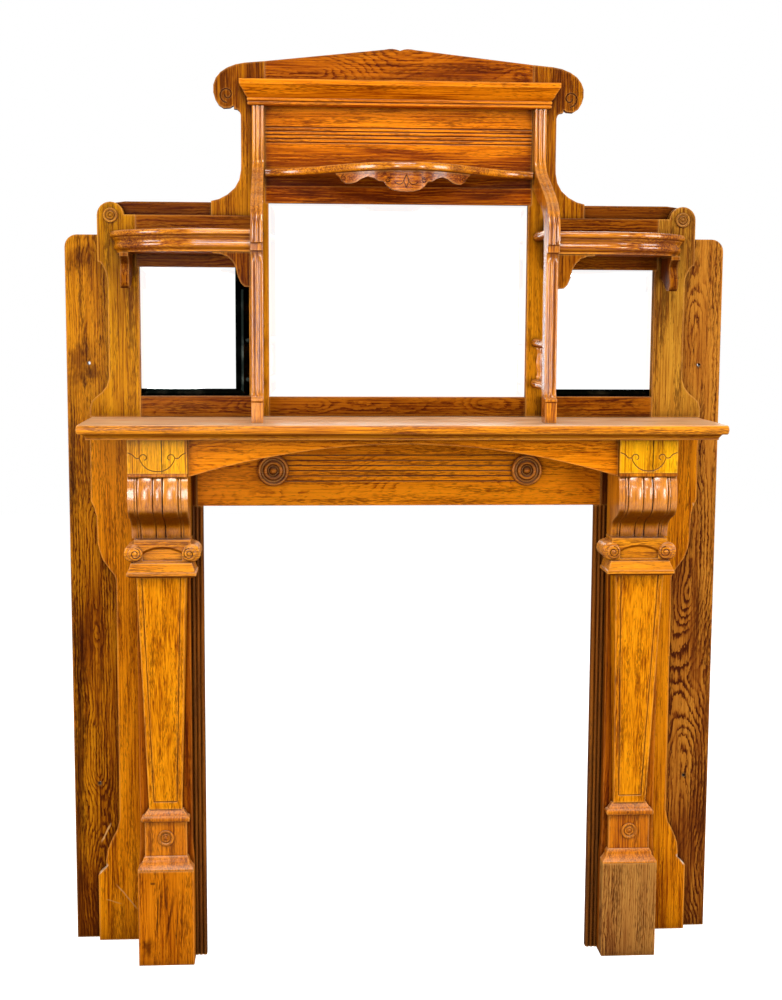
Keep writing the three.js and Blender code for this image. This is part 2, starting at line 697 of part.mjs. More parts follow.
// Reeded S-shaped console.
function buildConsoles() {
  const back = BACKING_FACE - SEAM;
  const leftHalf = CONSOLE_REEDS.slice(1).reverse().map(([x, sink]) => [-x, sink]);
  const across = [...leftHalf, ...CONSOLE_REEDS];
  const rows = CONSOLE_SIDE.map(([face, z]) => {
    const worked = z < CONSOLE_FILLET ? 1 : 0;
    return { front: across.map(([x, sink]) => [PILASTER_X + x, face + sink * worked, z]), back };
  });
  addPair("console", workedFront(rows));
}

// Frieze block with an incised double scroll.
function buildFriezeBlocks() {
  const low = PILASTER_X - BLOCK_HALF;
  const high = PILASTER_X + BLOCK_HALF;
  const body = box(low, high, BLOCK_FACE, BACKING_FACE - SEAM, BLOCK_BOTTOM, SHELF_UNDER - SEAM);
  const cutters = [];
  [-1, 1].forEach((side) => {
    [BLOCK_LINE, BLOCK_STEP_LINE].forEach((line) => {
      cutters.push(lineCutter(line.map(([x, z]) => [PILASTER_X + side * x, z]), BLOCK_FACE));
    });
  });
  addPair("frieze_block", cut(body, cutters));
}

// Thin reeded boards that line the fire opening.
function buildJambs() {
  const face = JAMB_FACE;
  const back = JAMB_FACE + JAMB_THICK;
  const plan = [[OPENING_HALF, back], [OPENING_HALF, face + JAMB_REED]];
  for (let i = 0; i < JAMB_REEDS; i += 1) {
    const start = OPENING_HALF + 2 * JAMB_REED * i;
    JAMB_REED_SHAPE.forEach(([across, sunk]) => {
      plan.push([start + JAMB_REED * across, face + JAMB_REED * sunk]);
    });
  }
  const reedsEnd = OPENING_HALF + 2 * JAMB_REED * (JAMB_REEDS + JAMB_REED_SHAPE[0][0]);
  plan.push([reedsEnd, face], [JAMB_OUTER_X, face], [JAMB_OUTER_X, back]);
  const top = OPENING_TOP - SEAM;
  const lower = facingOut(planBoard(plan, 0, top));
  const upper = box(JAMB_STRIP_X, JAMB_OUTER_X, face, back, top - SEAM, SHELF_UNDER);
  addPair("jamb_moulding", join([lower, upper]), DARK_OAK);
}

// Recessed frieze panel with reeding between two turned roundels.
function buildFriezePanel() {
  const half = JAMB_STRIP_X - SEAM;
  const body = box(-half, half, PANEL_FACE, PANEL_FACE + PANEL_THICK, OPENING_TOP, SHELF_UNDER - SEAM);
  const pitch = (FRIEZE_REED_HIGH - FRIEZE_REED_LOW) / (FRIEZE_REEDS - 1);
  const grooves = [];
  for (let i = 0; i < FRIEZE_REEDS; i += 1) {
    const z = FRIEZE_REED_LOW + i * pitch;
    grooves.push(facingOut(endBoard(groovePoints(PANEL_FACE, z), -FRIEZE_REED_HALF, FRIEZE_REED_HALF)));
  }
  addPiece("frieze_panel", cut(body, grooves), DARK_OAK);
  const rings = ringProfile(ROUNDEL_RINGS, ROUNDEL_RADIUS, ROUNDEL_RISE);
  addPair("roundel", turnedDisc(rings, ROUNDEL_SIDES, ROUNDEL_X, PANEL_FACE, ROUNDEL_Z));
}

// End view of a level V groove in a face.
function groovePoints(face, z) {
  return [
    [face - GROOVE_OVER, z - GROOVE_WIDTH / 2],
    [face + GROOVE_DEPTH, z],
    [face - GROOVE_OVER, z + GROOVE_WIDTH / 2],
  ];
}

// Arched board under the front of the shelf.
function buildArchedBoard() {
  const points = [];
  for (let i = 0; i <= ARCH_STEPS; i += 1) {
    const x = -ARCH_HALF + (2 * ARCH_HALF * i) / ARCH_STEPS;
    points.push([x, ARCH_CROWN - (ARCH_CROWN - ARCH_END) * (x / ARCH_HALF) ** 2]);
  }
  points.push([ARCH_HALF, SHELF_UNDER - SEAM], [-ARCH_HALF, SHELF_UNDER - SEAM]);
  addPiece("arched_board", frontBoard(points, ARCH_FACE, ARCH_FACE + ARCH_THICK));
}

// Mantel shelf with a rounded nosing and a cove under it.
function buildShelf() {
  const low = SHELF_TOP - SHELF_BOARD;
  const steps = [
    [-SHELF_FILLET_IN, SHELF_UNDER], [-SHELF_FILLET_IN, SHELF_FILLET_TOP],
    [-SHELF_COVE_MIDDLE.inset, SHELF_COVE_MIDDLE.z], [-SHELF_COVE_IN, low], [-NOSING_SOFT, low],
    [-NOSING_SWELL, low + NOSING_SOFT], [0, low + SHELF_BOARD / 2], [-NOSING_SWELL, SHELF_TOP - NOSING_SOFT],
    [-NOSING_SOFT, SHELF_TOP],
  ];
  addPiece("mantel_shelf", threeSided(0, SHELF_HALF, 0, LAYER_C, steps));
}

// Outer stile of each wing, with a rounded ear and a bullseye.
function buildOuterStiles() {
  const bottom = SHELF_TOP + SEAM;
  const ear = [];
  for (let i = 0; i <= 2 * CURVE_STEPS; i += 1) {
    const angle = Math.PI * (i / (2 * CURVE_STEPS));
    ear.push([EAR_X + EAR_RADIUS * Math.cos(angle), EAR_Z + EAR_RADIUS * Math.sin(angle)]);
  }
  const outer = STILE_EDGE.map(([x, rise]) => [x, rise === 0 ? bottom : SHELF_TOP + rise]);
  const edge = [
    [STILE_INNER_X, bottom], ...outer, ...ear,
    [EAR_X - EAR_RADIUS, WING_RAIL_TOP], [STILE_STEP_X, WING_RAIL_TOP],
    [STILE_STEP_X, SIGHT_TOP], [STILE_INNER_X, SIGHT_TOP],
  ];
  const board = frontBoard(edge, LAYER_A, LAYER_B - SEAM);
  const rings = ringProfile(EYE_RINGS, EAR_EYE_RADIUS, EYE_RISE);
  addPair("outer_stile", join([board, turnedDisc(rings, EYE_SIDES, EAR_X, LAYER_A, EAR_Z)]));
}

// Rails of the wing frames and the board behind them.
function buildWingRails() {
  const face = LAYER_A;
  const back = LAYER_B - SEAM;
  const top = box(WING_RAIL_END_X, STILE_STEP_X - SEAM, face, back, SIGHT_TOP, WING_RAIL_TOP);
  const bottom = box(WING_RAIL_END_X, STILE_INNER_X - SEAM, face, back, SHELF_TOP + SEAM, WING_SIGHT_BOTTOM);
  addPair("wing_top_rail", top);
  addPair("wing_bottom_rail", bottom);
  const inner = CREST_STILE_X + SEAM;
  const shoulder = CREST_EDGE[0][0] + SEAM;
  const edge = [
    [inner, SHELF_TOP + SEAM], [WING_BACK_OUTER_X, SHELF_TOP + SEAM], [WING_BACK_OUTER_X, WING_RAIL_TOP],
    [EAR_X, WING_BACK_END_Z], [EAR_X - EAR_RADIUS, WING_BACK_TOP], [shoulder, WING_BACK_TOP],
    [shoulder, SHOULDER_BOTTOM - SEAM], [inner, SHOULDER_BOTTOM - SEAM],
  ];
  addPair("wing_back_board", frontBoard(edge, WING_BACK_FACE, LAYER_C - SEAM), DARK_OAK);
}

// One bevelled mirror plate, silvered at the back.
function mirrorPlate(x0, x1, face, z0, z1) {
  const ring = (inset, y) => [
    [x0 + inset, y, z0 + inset],
    [x1 - inset, y, z0 + inset],
    [x1 - inset, y, z1 - inset],
    [x0 + inset, y, z1 - inset],
  ];
  const rings = [ring(0, face + GLASS), ring(0, face + GLASS_BEVEL_DEPTH), ring(GLASS_BEVEL, face)];
  return facingOut(sweepSections(rings));
}

// The three mirrors and the board behind the middle one.
function buildMirrors() {
  const wingLow = WING_SIGHT_BOTTOM - GLASS_LAP;
  const wingHigh = SIGHT_TOP + GLASS_LAP;
  const wingOuter = STILE_INNER_X + GLASS_LAP;
  const wing = mirrorPlate(CREST_STILE_X + SEAM, wingOuter, LAYER_B + SEAM, wingLow, wingHigh);
  addPair("wing_mirror", wing, MIRROR);
  const half = CREST_SIGHT_X + GLASS_LAP;
  const face = LAYER_C + SEAM;
  const centre = mirrorPlate(-half, half, face, MIRROR_BOTTOM - GLASS_LAP, MIRROR_TOP + GLASS_LAP);
  addPiece("centre_mirror", centre, MIRROR);
  const boardFace = face + GLASS + SEAM;
  const board = box(-CENTRE_BACK_HALF, CENTRE_BACK_HALF, boardFace, DEPTH, SHELF_TOP + SEAM, CREST_BOTTOM);
  addPiece("centre_back_board", board, DARK_OAK);
}

// A spiral line, wound inwards, as seen from the front.
function spiral(x, z, radius, turns, start) {
  const points = [];
  for (let i = 0; i <= SCROLL_STEPS; i += 1) {
    const share = i / SCROLL_STEPS;
    const angle = start + 2 * Math.PI * turns * share;
    const reach = radius * (1 - SCROLL_CLOSE * share);
    points.push([x + reach * Math.cos(angle), z + reach * Math.sin(angle)]);
  }
  return points;
}

// Tall stiles that swell into a shoulder below and a scroll above.
function buildCrestedStiles() {
  const bottom = SHELF_TOP + SEAM;
  const shoulder = CREST_EDGE[0][0];
  const edge = [
    [CREST_SIGHT_X, bottom], [CREST_STILE_X, bottom], [CREST_STILE_X, SHOULDER_BOTTOM],
    [shoulder, SHOULDER_BOTTOM], ...CREST_EDGE, [CREST_SEAM_X, CREST_SEAM_Z], [CREST_SEAM_X, MIRROR_TOP],
    [CREST_SIGHT_X, MIRROR_TOP],
  ];
  const board = frontBoard(edge, LAYER_B, LAYER_C);
  const line = spiral(SCROLL_X, SCROLL_Z, SCROLL_RADIUS, SCROLL_TURNS, -Math.PI / 2);
  addPair("crested_stile", cut(board, [lineCutter(line, LAYER_B)]));
}

// Crest between the stiles: straight slopes up to two small humps.
function buildCrest() {
  const half = CREST_SEAM_X - SEAM;
  const low = CREST_BOTTOM + SEAM;
  const leftHump = [...CREST_HUMP].reverse().map(([x, z]) => [-x, z]);
  const edge = [
    [-half, low], [half, low], [half, CREST_SEAM_Z], ...CREST_HUMP, [0, CREST_NOTCH_Z], ...leftHump,
    [-half, CREST_SEAM_Z],
  ];
  addPiece("crest_board", frontBoard(edge, LAYER_B, LAYER_C));
}

// Reeded panel under the cornice, with the rail over the middle mirror.
function buildUpperPanel() {
  const half = CREST_SEAM_X - SEAM;
  const face = UPPER_PANEL_FACE;
  const low = MIRROR_TOP + SEAM;
  const points = [[LAYER_C, low], [LAYER_B, low], [LAYER_B, MIRROR_RAIL_TOP], [face, MIRROR_RAIL_TOP]];
  const pitch = (UPPER_REED_HIGH - UPPER_REED_LOW) / (UPPER_REEDS - 1);
  for (let i = 0; i < UPPER_REEDS; i += 1) {
    const z = UPPER_REED_LOW + i * pitch;
    points.push([face, z - GROOVE_WIDTH / 2], [face + GROOVE_DEPTH, z], [face, z + GROOVE_WIDTH / 2]);
  }
  points.push([face, CREST_BOTTOM], [LAYER_C, CREST_BOTTOM]);
  addPiece("upper_panel", facingOut(endBoard(points, -half, half)));
  const railHalf = CREST_SIGHT_X - SEAM;
  addPiece("centre_bottom_rail", box(-railHalf, railHalf, LAYER_B, LAYER_C, SHELF_TOP + SEAM, MIRROR_BOTTOM));
}

// Cornice that returns at both ends.
function buildCornice() {
  addPiece("cornice", threeSided(0, CORNICE_HALF, CORNICE_FACE, LAYER_B - SEAM, CORNICE_PROFILE));
}

// Depth of the serpentine front at a distance from the middle.
function serpentine(x) {
  const share = Math.min(Math.abs(x) / SERP_HALF, 1);
  const swell = (1 + Math.cos(Math.PI * share ** SERP_SWELL)) / 2;
  return SERP_SIDE_FACE - (SERP_SIDE_FACE - SERP_CROWN_FACE) * swell;
}

// Serpentine shelf over the middle mirror.
function buildCentreShelf() {
  const back = UPPER_PANEL_FACE - SEAM;
  const rowAt = (inset, z) => {
    const front = [];
    for (let i = 0; i <= SERP_STEPS; i += 1) {
      const x = -SERP_HALF + (2 * SERP_HALF * i) / SERP_STEPS;
      front.push([x, serpentine(x) + inset, z]);
    }
    return { front, back };
  };
  const low = SERP_TOP - SERP_THICK;
  const rows = [
    rowAt(SERP_SOFT, low), rowAt(0, low + SERP_SOFT),
    rowAt(0, SERP_TOP - SERP_SOFT), rowAt(SERP_SOFT, SERP_TOP),
  ];
  addPiece("centre_shelf", workedFront(rows));
}

// Scalloped apron that hangs under the swell of the serpentine shelf.
function buildCentreApron() {
  const top = SERP_TOP - SERP_THICK - SEAM;
  const leftHalf = APRON_EDGE.slice(1).reverse().map(([x, z]) => [-x, z]);
  const sections = [...leftHalf, ...APRON_EDGE].map(([x, z]) => {
    const face = serpentine(x) + APRON_SET_BACK;
    const back = face + APRON_THICK;
    return [[x, face, z], [x, back, z], [x, back, top], [x, face, top]];
  });
  addPiece("centre_apron", facingOut(sweepSections(sections)));
}

// Quarter-round wing shelf with a double moulded edge.
function buildWingShelves() {
  const back = LAYER_A - SEAM;
  const ring = ([inset, z]) => {
    const points = [[WING_SHELF_INNER_X, back, z], [WING_SHELF_INNER_X, WING_SHELF_FACE + inset, z]];
    const wide = WING_SHELF_OUTER_X - WING_SHELF_STRAIGHT_X - inset;
    const deep = back - WING_SHELF_FACE - inset;
    for (let i = 0; i <= WING_ARC_STEPS; i += 1) {
      const angle = (Math.PI / 2) * (1 - i / WING_ARC_STEPS);
      points.push([WING_SHELF_STRAIGHT_X + wide * Math.cos(angle), back - deep * Math.sin(angle), z]);
    }
    return points;
  };
  const rings = [...WING_SHELF_PROFILE].reverse().map(ring);
  addPair("wing_shelf", facingOut(stackRings(rings)));
}

// Shaped brackets under the inner and outer ends of each wing shelf.
function buildBrackets() {
  const face = INNER_BRACKET_FACE;
  const inner = frontBoard(INNER_BRACKET_EDGE, face, face + INNER_BRACKET_THICK);
  addPair("inner_bracket", facingOut(inner));
  const outer = endBoard(OUTER_BRACKET_EDGE, OUTER_BRACKET_X, OUTER_BRACKET_X + OUTER_BRACKET_THICK);
  addPair("outer_bracket", facingOut(outer));
}

// Slender S-shaped front posts, reeded above and fluted below.
function buildPosts() {
  const middle = (POST_INNER_X + POST_OUTER_X) / 2;
  const rows = POST_SIDE.map(([face, back, z], level) => {
    const bottom = level === 0 ? z + SEAM : z;
    const reeded = z >= POST_REED_FLOOR;
    const fluted = z > POST_FLUTE_LOW && z < POST_FLUTE_HIGH;
    const cutAt = (i) => {
      if (reeded) return POST_REED_CUT[i];
      return fluted ? POST_FLUTE_CUT[i] : 0;
    };
    return { front: POST_ACROSS.map((x, i) => [middle + x, face + cutAt(i), bottom]), back };
  });
  addPair("front_post", workedFront(rows));
}

// Round-edged rail that runs back from the post to the stile.
function railAt(z) {
  const points = [];
  const corner = RAIL_HIGH / 2;
  for (let i = 0; i <= CURVE_STEPS; i += 1) {
    const angle = -Math.PI / 2 + Math.PI * (i / CURVE_STEPS);
    points.push([RAIL_X + RAIL_HALF - corner + corner * Math.cos(angle), z + corner * Math.sin(angle)]);
  }
  for (let i = 0; i <= CURVE_STEPS; i += 1) {
    const angle = Math.PI / 2 + Math.PI * (i / CURVE_STEPS);
    points.push([RAIL_X - RAIL_HALF + corner + corner * Math.cos(angle), z + corner * Math.sin(angle)]);
  }
  return frontBoard(points, RAIL_START, LAYER_B - SEAM);
}

// Small turned spindle between two rails.
function spindleAt(y) {
  const low = LOWER_RAIL_Z + RAIL_HIGH / 2 - SPINDLE_LET_IN;
  const high = MIDDLE_RAIL_Z - RAIL_HIGH / 2 + SPINDLE_LET_IN;
  const turned = SPINDLE_TURNING.map(([radius, share]) => new THREE.Vector2(radius, share * (high - low)));
  const profile = [new THREE.Vector2(0, 0), ...turned, new THREE.Vector2(0, high - low)];
  const geometry = new THREE.LatheGeometry(profile, SPINDLE_SIDES);
  geometry.rotateX(Math.PI / 2);
  geometry.translate(RAIL_X, y, low);
  return geometry;
}

// Rails and spindles on both sides.
function buildGalleries() {
  addPair("post_rail", railAt(UPPER_RAIL_Z));
  const spindles = SPINDLE_DEPTHS.map(spindleAt);
  addPair("post_gallery", join([railAt(MIDDLE_RAIL_Z), railAt(LOWER_RAIL_Z), ...spindles]));
}

buildBackBoards();
buildPierBoards();
buildPilasterBoards();
buildPlinths();
buildDies();
buildShafts();
buildCapitals();
buildConsoles();
buildFriezeBlocks();
buildJambs();
buildFriezePanel();
buildArchedBoard();
buildShelf();
buildOuterStiles();
buildWingRails();
buildMirrors();
buildCrestedStiles();
buildCrest();
buildUpperPanel();
buildCornice();
buildCentreShelf();
buildCentreApron();
buildWingShelves();
buildBrackets();
buildPosts();
buildGalleries();

const root = new THREE.Group();
root.name = "fireplace_mantel";
root.add(mantel);

export default root;
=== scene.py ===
"""Dresses the oak fireplace mantel: finer turned and carved pieces, oak finishes, mirrors and the studio."""

import json
import logging
import math
from dataclasses import dataclass, field, replace
from enum import Enum
from typing import Sequence

import bpy
from mathutils import Matrix, Vector

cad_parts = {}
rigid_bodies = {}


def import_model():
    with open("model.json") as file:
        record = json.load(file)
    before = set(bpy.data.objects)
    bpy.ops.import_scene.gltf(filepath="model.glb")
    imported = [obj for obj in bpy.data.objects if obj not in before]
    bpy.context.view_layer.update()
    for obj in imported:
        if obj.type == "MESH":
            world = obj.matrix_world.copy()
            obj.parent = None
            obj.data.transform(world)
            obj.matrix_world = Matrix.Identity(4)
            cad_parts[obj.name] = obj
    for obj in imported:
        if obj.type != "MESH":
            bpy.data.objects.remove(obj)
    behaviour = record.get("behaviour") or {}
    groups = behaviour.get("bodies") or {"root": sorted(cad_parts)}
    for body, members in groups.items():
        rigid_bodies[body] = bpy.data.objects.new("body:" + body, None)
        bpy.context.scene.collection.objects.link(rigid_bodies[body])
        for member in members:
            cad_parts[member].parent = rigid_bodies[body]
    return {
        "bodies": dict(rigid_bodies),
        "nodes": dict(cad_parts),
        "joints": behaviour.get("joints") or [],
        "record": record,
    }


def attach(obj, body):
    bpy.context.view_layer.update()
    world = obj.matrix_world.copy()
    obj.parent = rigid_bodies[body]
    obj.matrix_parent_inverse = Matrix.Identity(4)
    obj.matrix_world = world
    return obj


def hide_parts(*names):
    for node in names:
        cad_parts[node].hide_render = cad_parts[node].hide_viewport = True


LOG = logging.getLogger("mantel")
MM = 0.001
HALF_DEPTH = 164.0  # the frame's middle, behind the front edge of the mantel shelf
SIDES = (("right", 1), ("left", -1))

Point = tuple[float, float, float]
Pair = tuple[float, float]


def place(x: float, y: float, z: float) -> Vector:
    """A point in metres from millimetres sideways, behind the shelf's front edge, and up.

    Args:
        x: Distance to the viewer's right of the middle.
        y: Distance behind the front edge of the mantel shelf.
        z: Height over the floor.

    Returns:
        The point in the frame.
    """
    return Vector((x, y - HALF_DEPTH, z)) * MM


def tone(code: int) -> tuple[float, float, float, float]:
    """Turns a written colour into the linear colour that shaders use.

    Args:
        code: The colour as three bytes, red first.

    Returns:
        Red, green, blue and a full alpha.
    """
    parts = [((code >> shift) & 255) / 255 for shift in (16, 8, 0)]
    linear = [c / 12.92 if c <= 0.04045 else ((c + 0.055) / 1.055) ** 2.4 for c in parts]
    return (linear[0], linear[1], linear[2], 1.0)


def smooth_path(points: Sequence[Pair], steps: int) -> list[Pair]:
    """Runs a smooth curve through points.

    Args:
        points: The points to pass through.
        steps: Steps between one point and the next.

    Returns:
        The finer list of points.
    """
    path: list[Pair] = []
    last = len(points) - 1
    for i in range(last):
        p0, p1, p2, p3 = (points[min(max(k, 0), last)] for k in (i - 1, i, i + 1, i + 2))
        for step in range(steps):
            t = step / steps
            path.append(tuple(
                0.5 * (2 * b + (c - a) * t + (2 * a - 5 * b + 4 * c - d) * t**2 + (3 * b - a - 3 * c + d) * t**3)
                for a, b, c, d in zip(p0, p1, p2, p3)
            ))
    path.append(tuple(points[last]))
    return path


def bulge(start: float, end: float, rise: float, steps: int) -> list[Pair]:
    """The section of one rounded reed.

    Args:
        start: Where the reed starts across the piece.
        end: Where it ends.
        rise: How far its crown stands out.
        steps: Number of steps across it.

    Returns:
        Points as distance across and height of the section.
    """
    middle, half = (start + end) / 2, (end - start) / 2
    angles = [math.pi * (1 - i / steps) for i in range(steps + 1)]
    return [(middle + half * math.cos(a), rise * math.sin(a) ** 0.8 if 0 < a < math.pi else 0.0) for a in angles]


class Grain(Enum):
    """The way the grain runs along a board."""

    UP = ("Z", "X", "Y")
    ACROSS = ("X", "Z", "Y")
    BACK = ("Y", "X", "Z")


class Tone(Enum):
    """Middle tones of the oak, as three bytes."""

    HONEY = 0xEA9A06
    GOLD = 0xE08404
    FLAME = 0xE07A04
    AMBER = 0xCC6E04
    RUSSET = 0xB45C03
    OLIVE = 0xBE7A03
    TAWNY = 0xC07406
    HAZEL = 0xB06A1C
    SAND = 0xB47820
    DRAB = 0xAA6E30
    BROWN = 0x9C5403
    UMBER = 0x7E3E02
    SOOT = 0x52260A


@dataclass(frozen=True)
class Mark:
    """A scratch, stain, chip or painted highlight on the face of a board, in millimetres.

    Attributes:
        x: Middle of the mark, sideways.
        z: Middle of the mark, up.
        angle: Slope of the mark, in degrees from level.
        length: Half its length.
        width: Half its width.
        colour: Its colour as three bytes.
        strength: How much it covers, from 0 to 1.
        soaks: Whether it darkens the wood under it, as a stain does, and doesn't cover it.
    """

    x: float
    z: float
    angle: float
    length: float
    width: float
    colour: int
    strength: float = 0.8
    soaks: bool = False


class Graph:
    """A material under construction, with short calls for the shader nodes it needs."""

    def __init__(self, name: str) -> None:
        """Starts an empty material.

        Args:
            name: The material's name.
        """
        self.material = bpy.data.materials.new(name)
        self.material.use_nodes = True
        self.nodes = self.material.node_tree.nodes
        self.links = self.material.node_tree.links
        self.nodes.clear()
        self.shader = self.add("ShaderNodeBsdfPrincipled")
        output = self.add("ShaderNodeOutputMaterial")
        self.links.new(self.shader.outputs["BSDF"], output.inputs["Surface"])

    def add(self, kind: str, **settings: object) -> bpy.types.Node:
        """Adds a node and sets its options by name."""
        node = self.nodes.new(kind)
        for key, value in settings.items():
            setattr(node, key, value)
        return node

    def feed(self, socket: bpy.types.NodeSocket, value: object) -> None:
        """Links a socket to an input, or sets the input to a plain value."""
        if isinstance(value, bpy.types.NodeSocket):
            self.links.new(value, socket)
        else:
            socket.default_value = value

    def math(self, operation: str, a: object, b: object = 0.0, clamp: bool = False) -> bpy.types.NodeSocket:
        """Works out one sum.

        Args:
            operation: Blender's name for the sum.
            a: First number or socket.
            b: Second number or socket.
            clamp: Whether the result stays between 0 and 1.

        Returns:
            The socket that holds the result.
        """
        node = self.add("ShaderNodeMath", operation=operation, use_clamp=clamp)
        self.feed(node.inputs[0], a)
        self.feed(node.inputs[1], b)
        return node.outputs[0]

    def spread(self, value: object, low: float, high: float, to_low: float = 0.0, to_high: float = 1.0) -> bpy.types.NodeSocket:
        """Maps a range of values smoothly onto another.

        Args:
            value: The number to map.
            low: Where the range starts.
            high: Where the range ends.
            to_low: What the start becomes.
            to_high: What the end becomes.

        Returns:
            The socket that holds the mapped value.
        """
        node = self.add("ShaderNodeMapRange", interpolation_type="SMOOTHSTEP")
        for socket, number in zip(node.inputs, (value, low, high, to_low, to_high)):
            self.feed(socket, number)
        return node.outputs[0]

    def noise(self, vector: object, stretch: Point, detail: float = 2.0) -> bpy.types.NodeSocket:
        """Soft noise, stretched along each axis.

        Args:
            vector: The coordinates to read.
            stretch: Number of features per metre along each axis.
            detail: Fineness of the noise.

        Returns:
            The socket that holds the noise, about 0.5 on average.
        """
        scaled = self.add("ShaderNodeVectorMath", operation="MULTIPLY")
        self.feed(scaled.inputs[0], vector)
        scaled.inputs[1].default_value = stretch
        node = self.add("ShaderNodeTexNoise")
        self.links.new(scaled.outputs[0], node.inputs["Vector"])
        node.inputs["Scale"].default_value = 1.0
        node.inputs["Detail"].default_value = detail
        return node.outputs["Fac"]

    def ramp(self, factor: object, stops: Sequence[tuple[float, object]]) -> bpy.types.NodeSocket:
        """Reads a colour from a row of stops.

        Args:
            factor: Where to read the row, from 0 to 1.
            stops: Place and colour of each stop.

        Returns:
            The socket that holds the colour.
        """
        node = self.add("ShaderNodeValToRGB")
        self.feed(node.inputs[0], factor)
        bar = node.color_ramp
        while len(bar.elements) < len(stops):
            bar.elements.new(1.0)
        for element, (position, colour) in zip(bar.elements, stops):
            element.position = position
            element.color = colour
        return node.outputs[0]

    def mix(self, factor: object, a: object, b: object, blend: str = "MIX") -> bpy.types.NodeSocket:
        """Mixes two colours.

        Args:
            factor: Share of the second colour.
            a: First colour.
            b: Second colour.
            blend: Blender's name for the way they mix.

        Returns:
            The socket that holds the mixed colour.
        """
        node = self.add("ShaderNodeMix", data_type="RGBA", blend_type=blend, clamp_factor=True)
        self.feed(node.inputs[0], factor)
        self.feed(node.inputs[6], a)
        self.feed(node.inputs[7], b)
        return node.outputs[2]


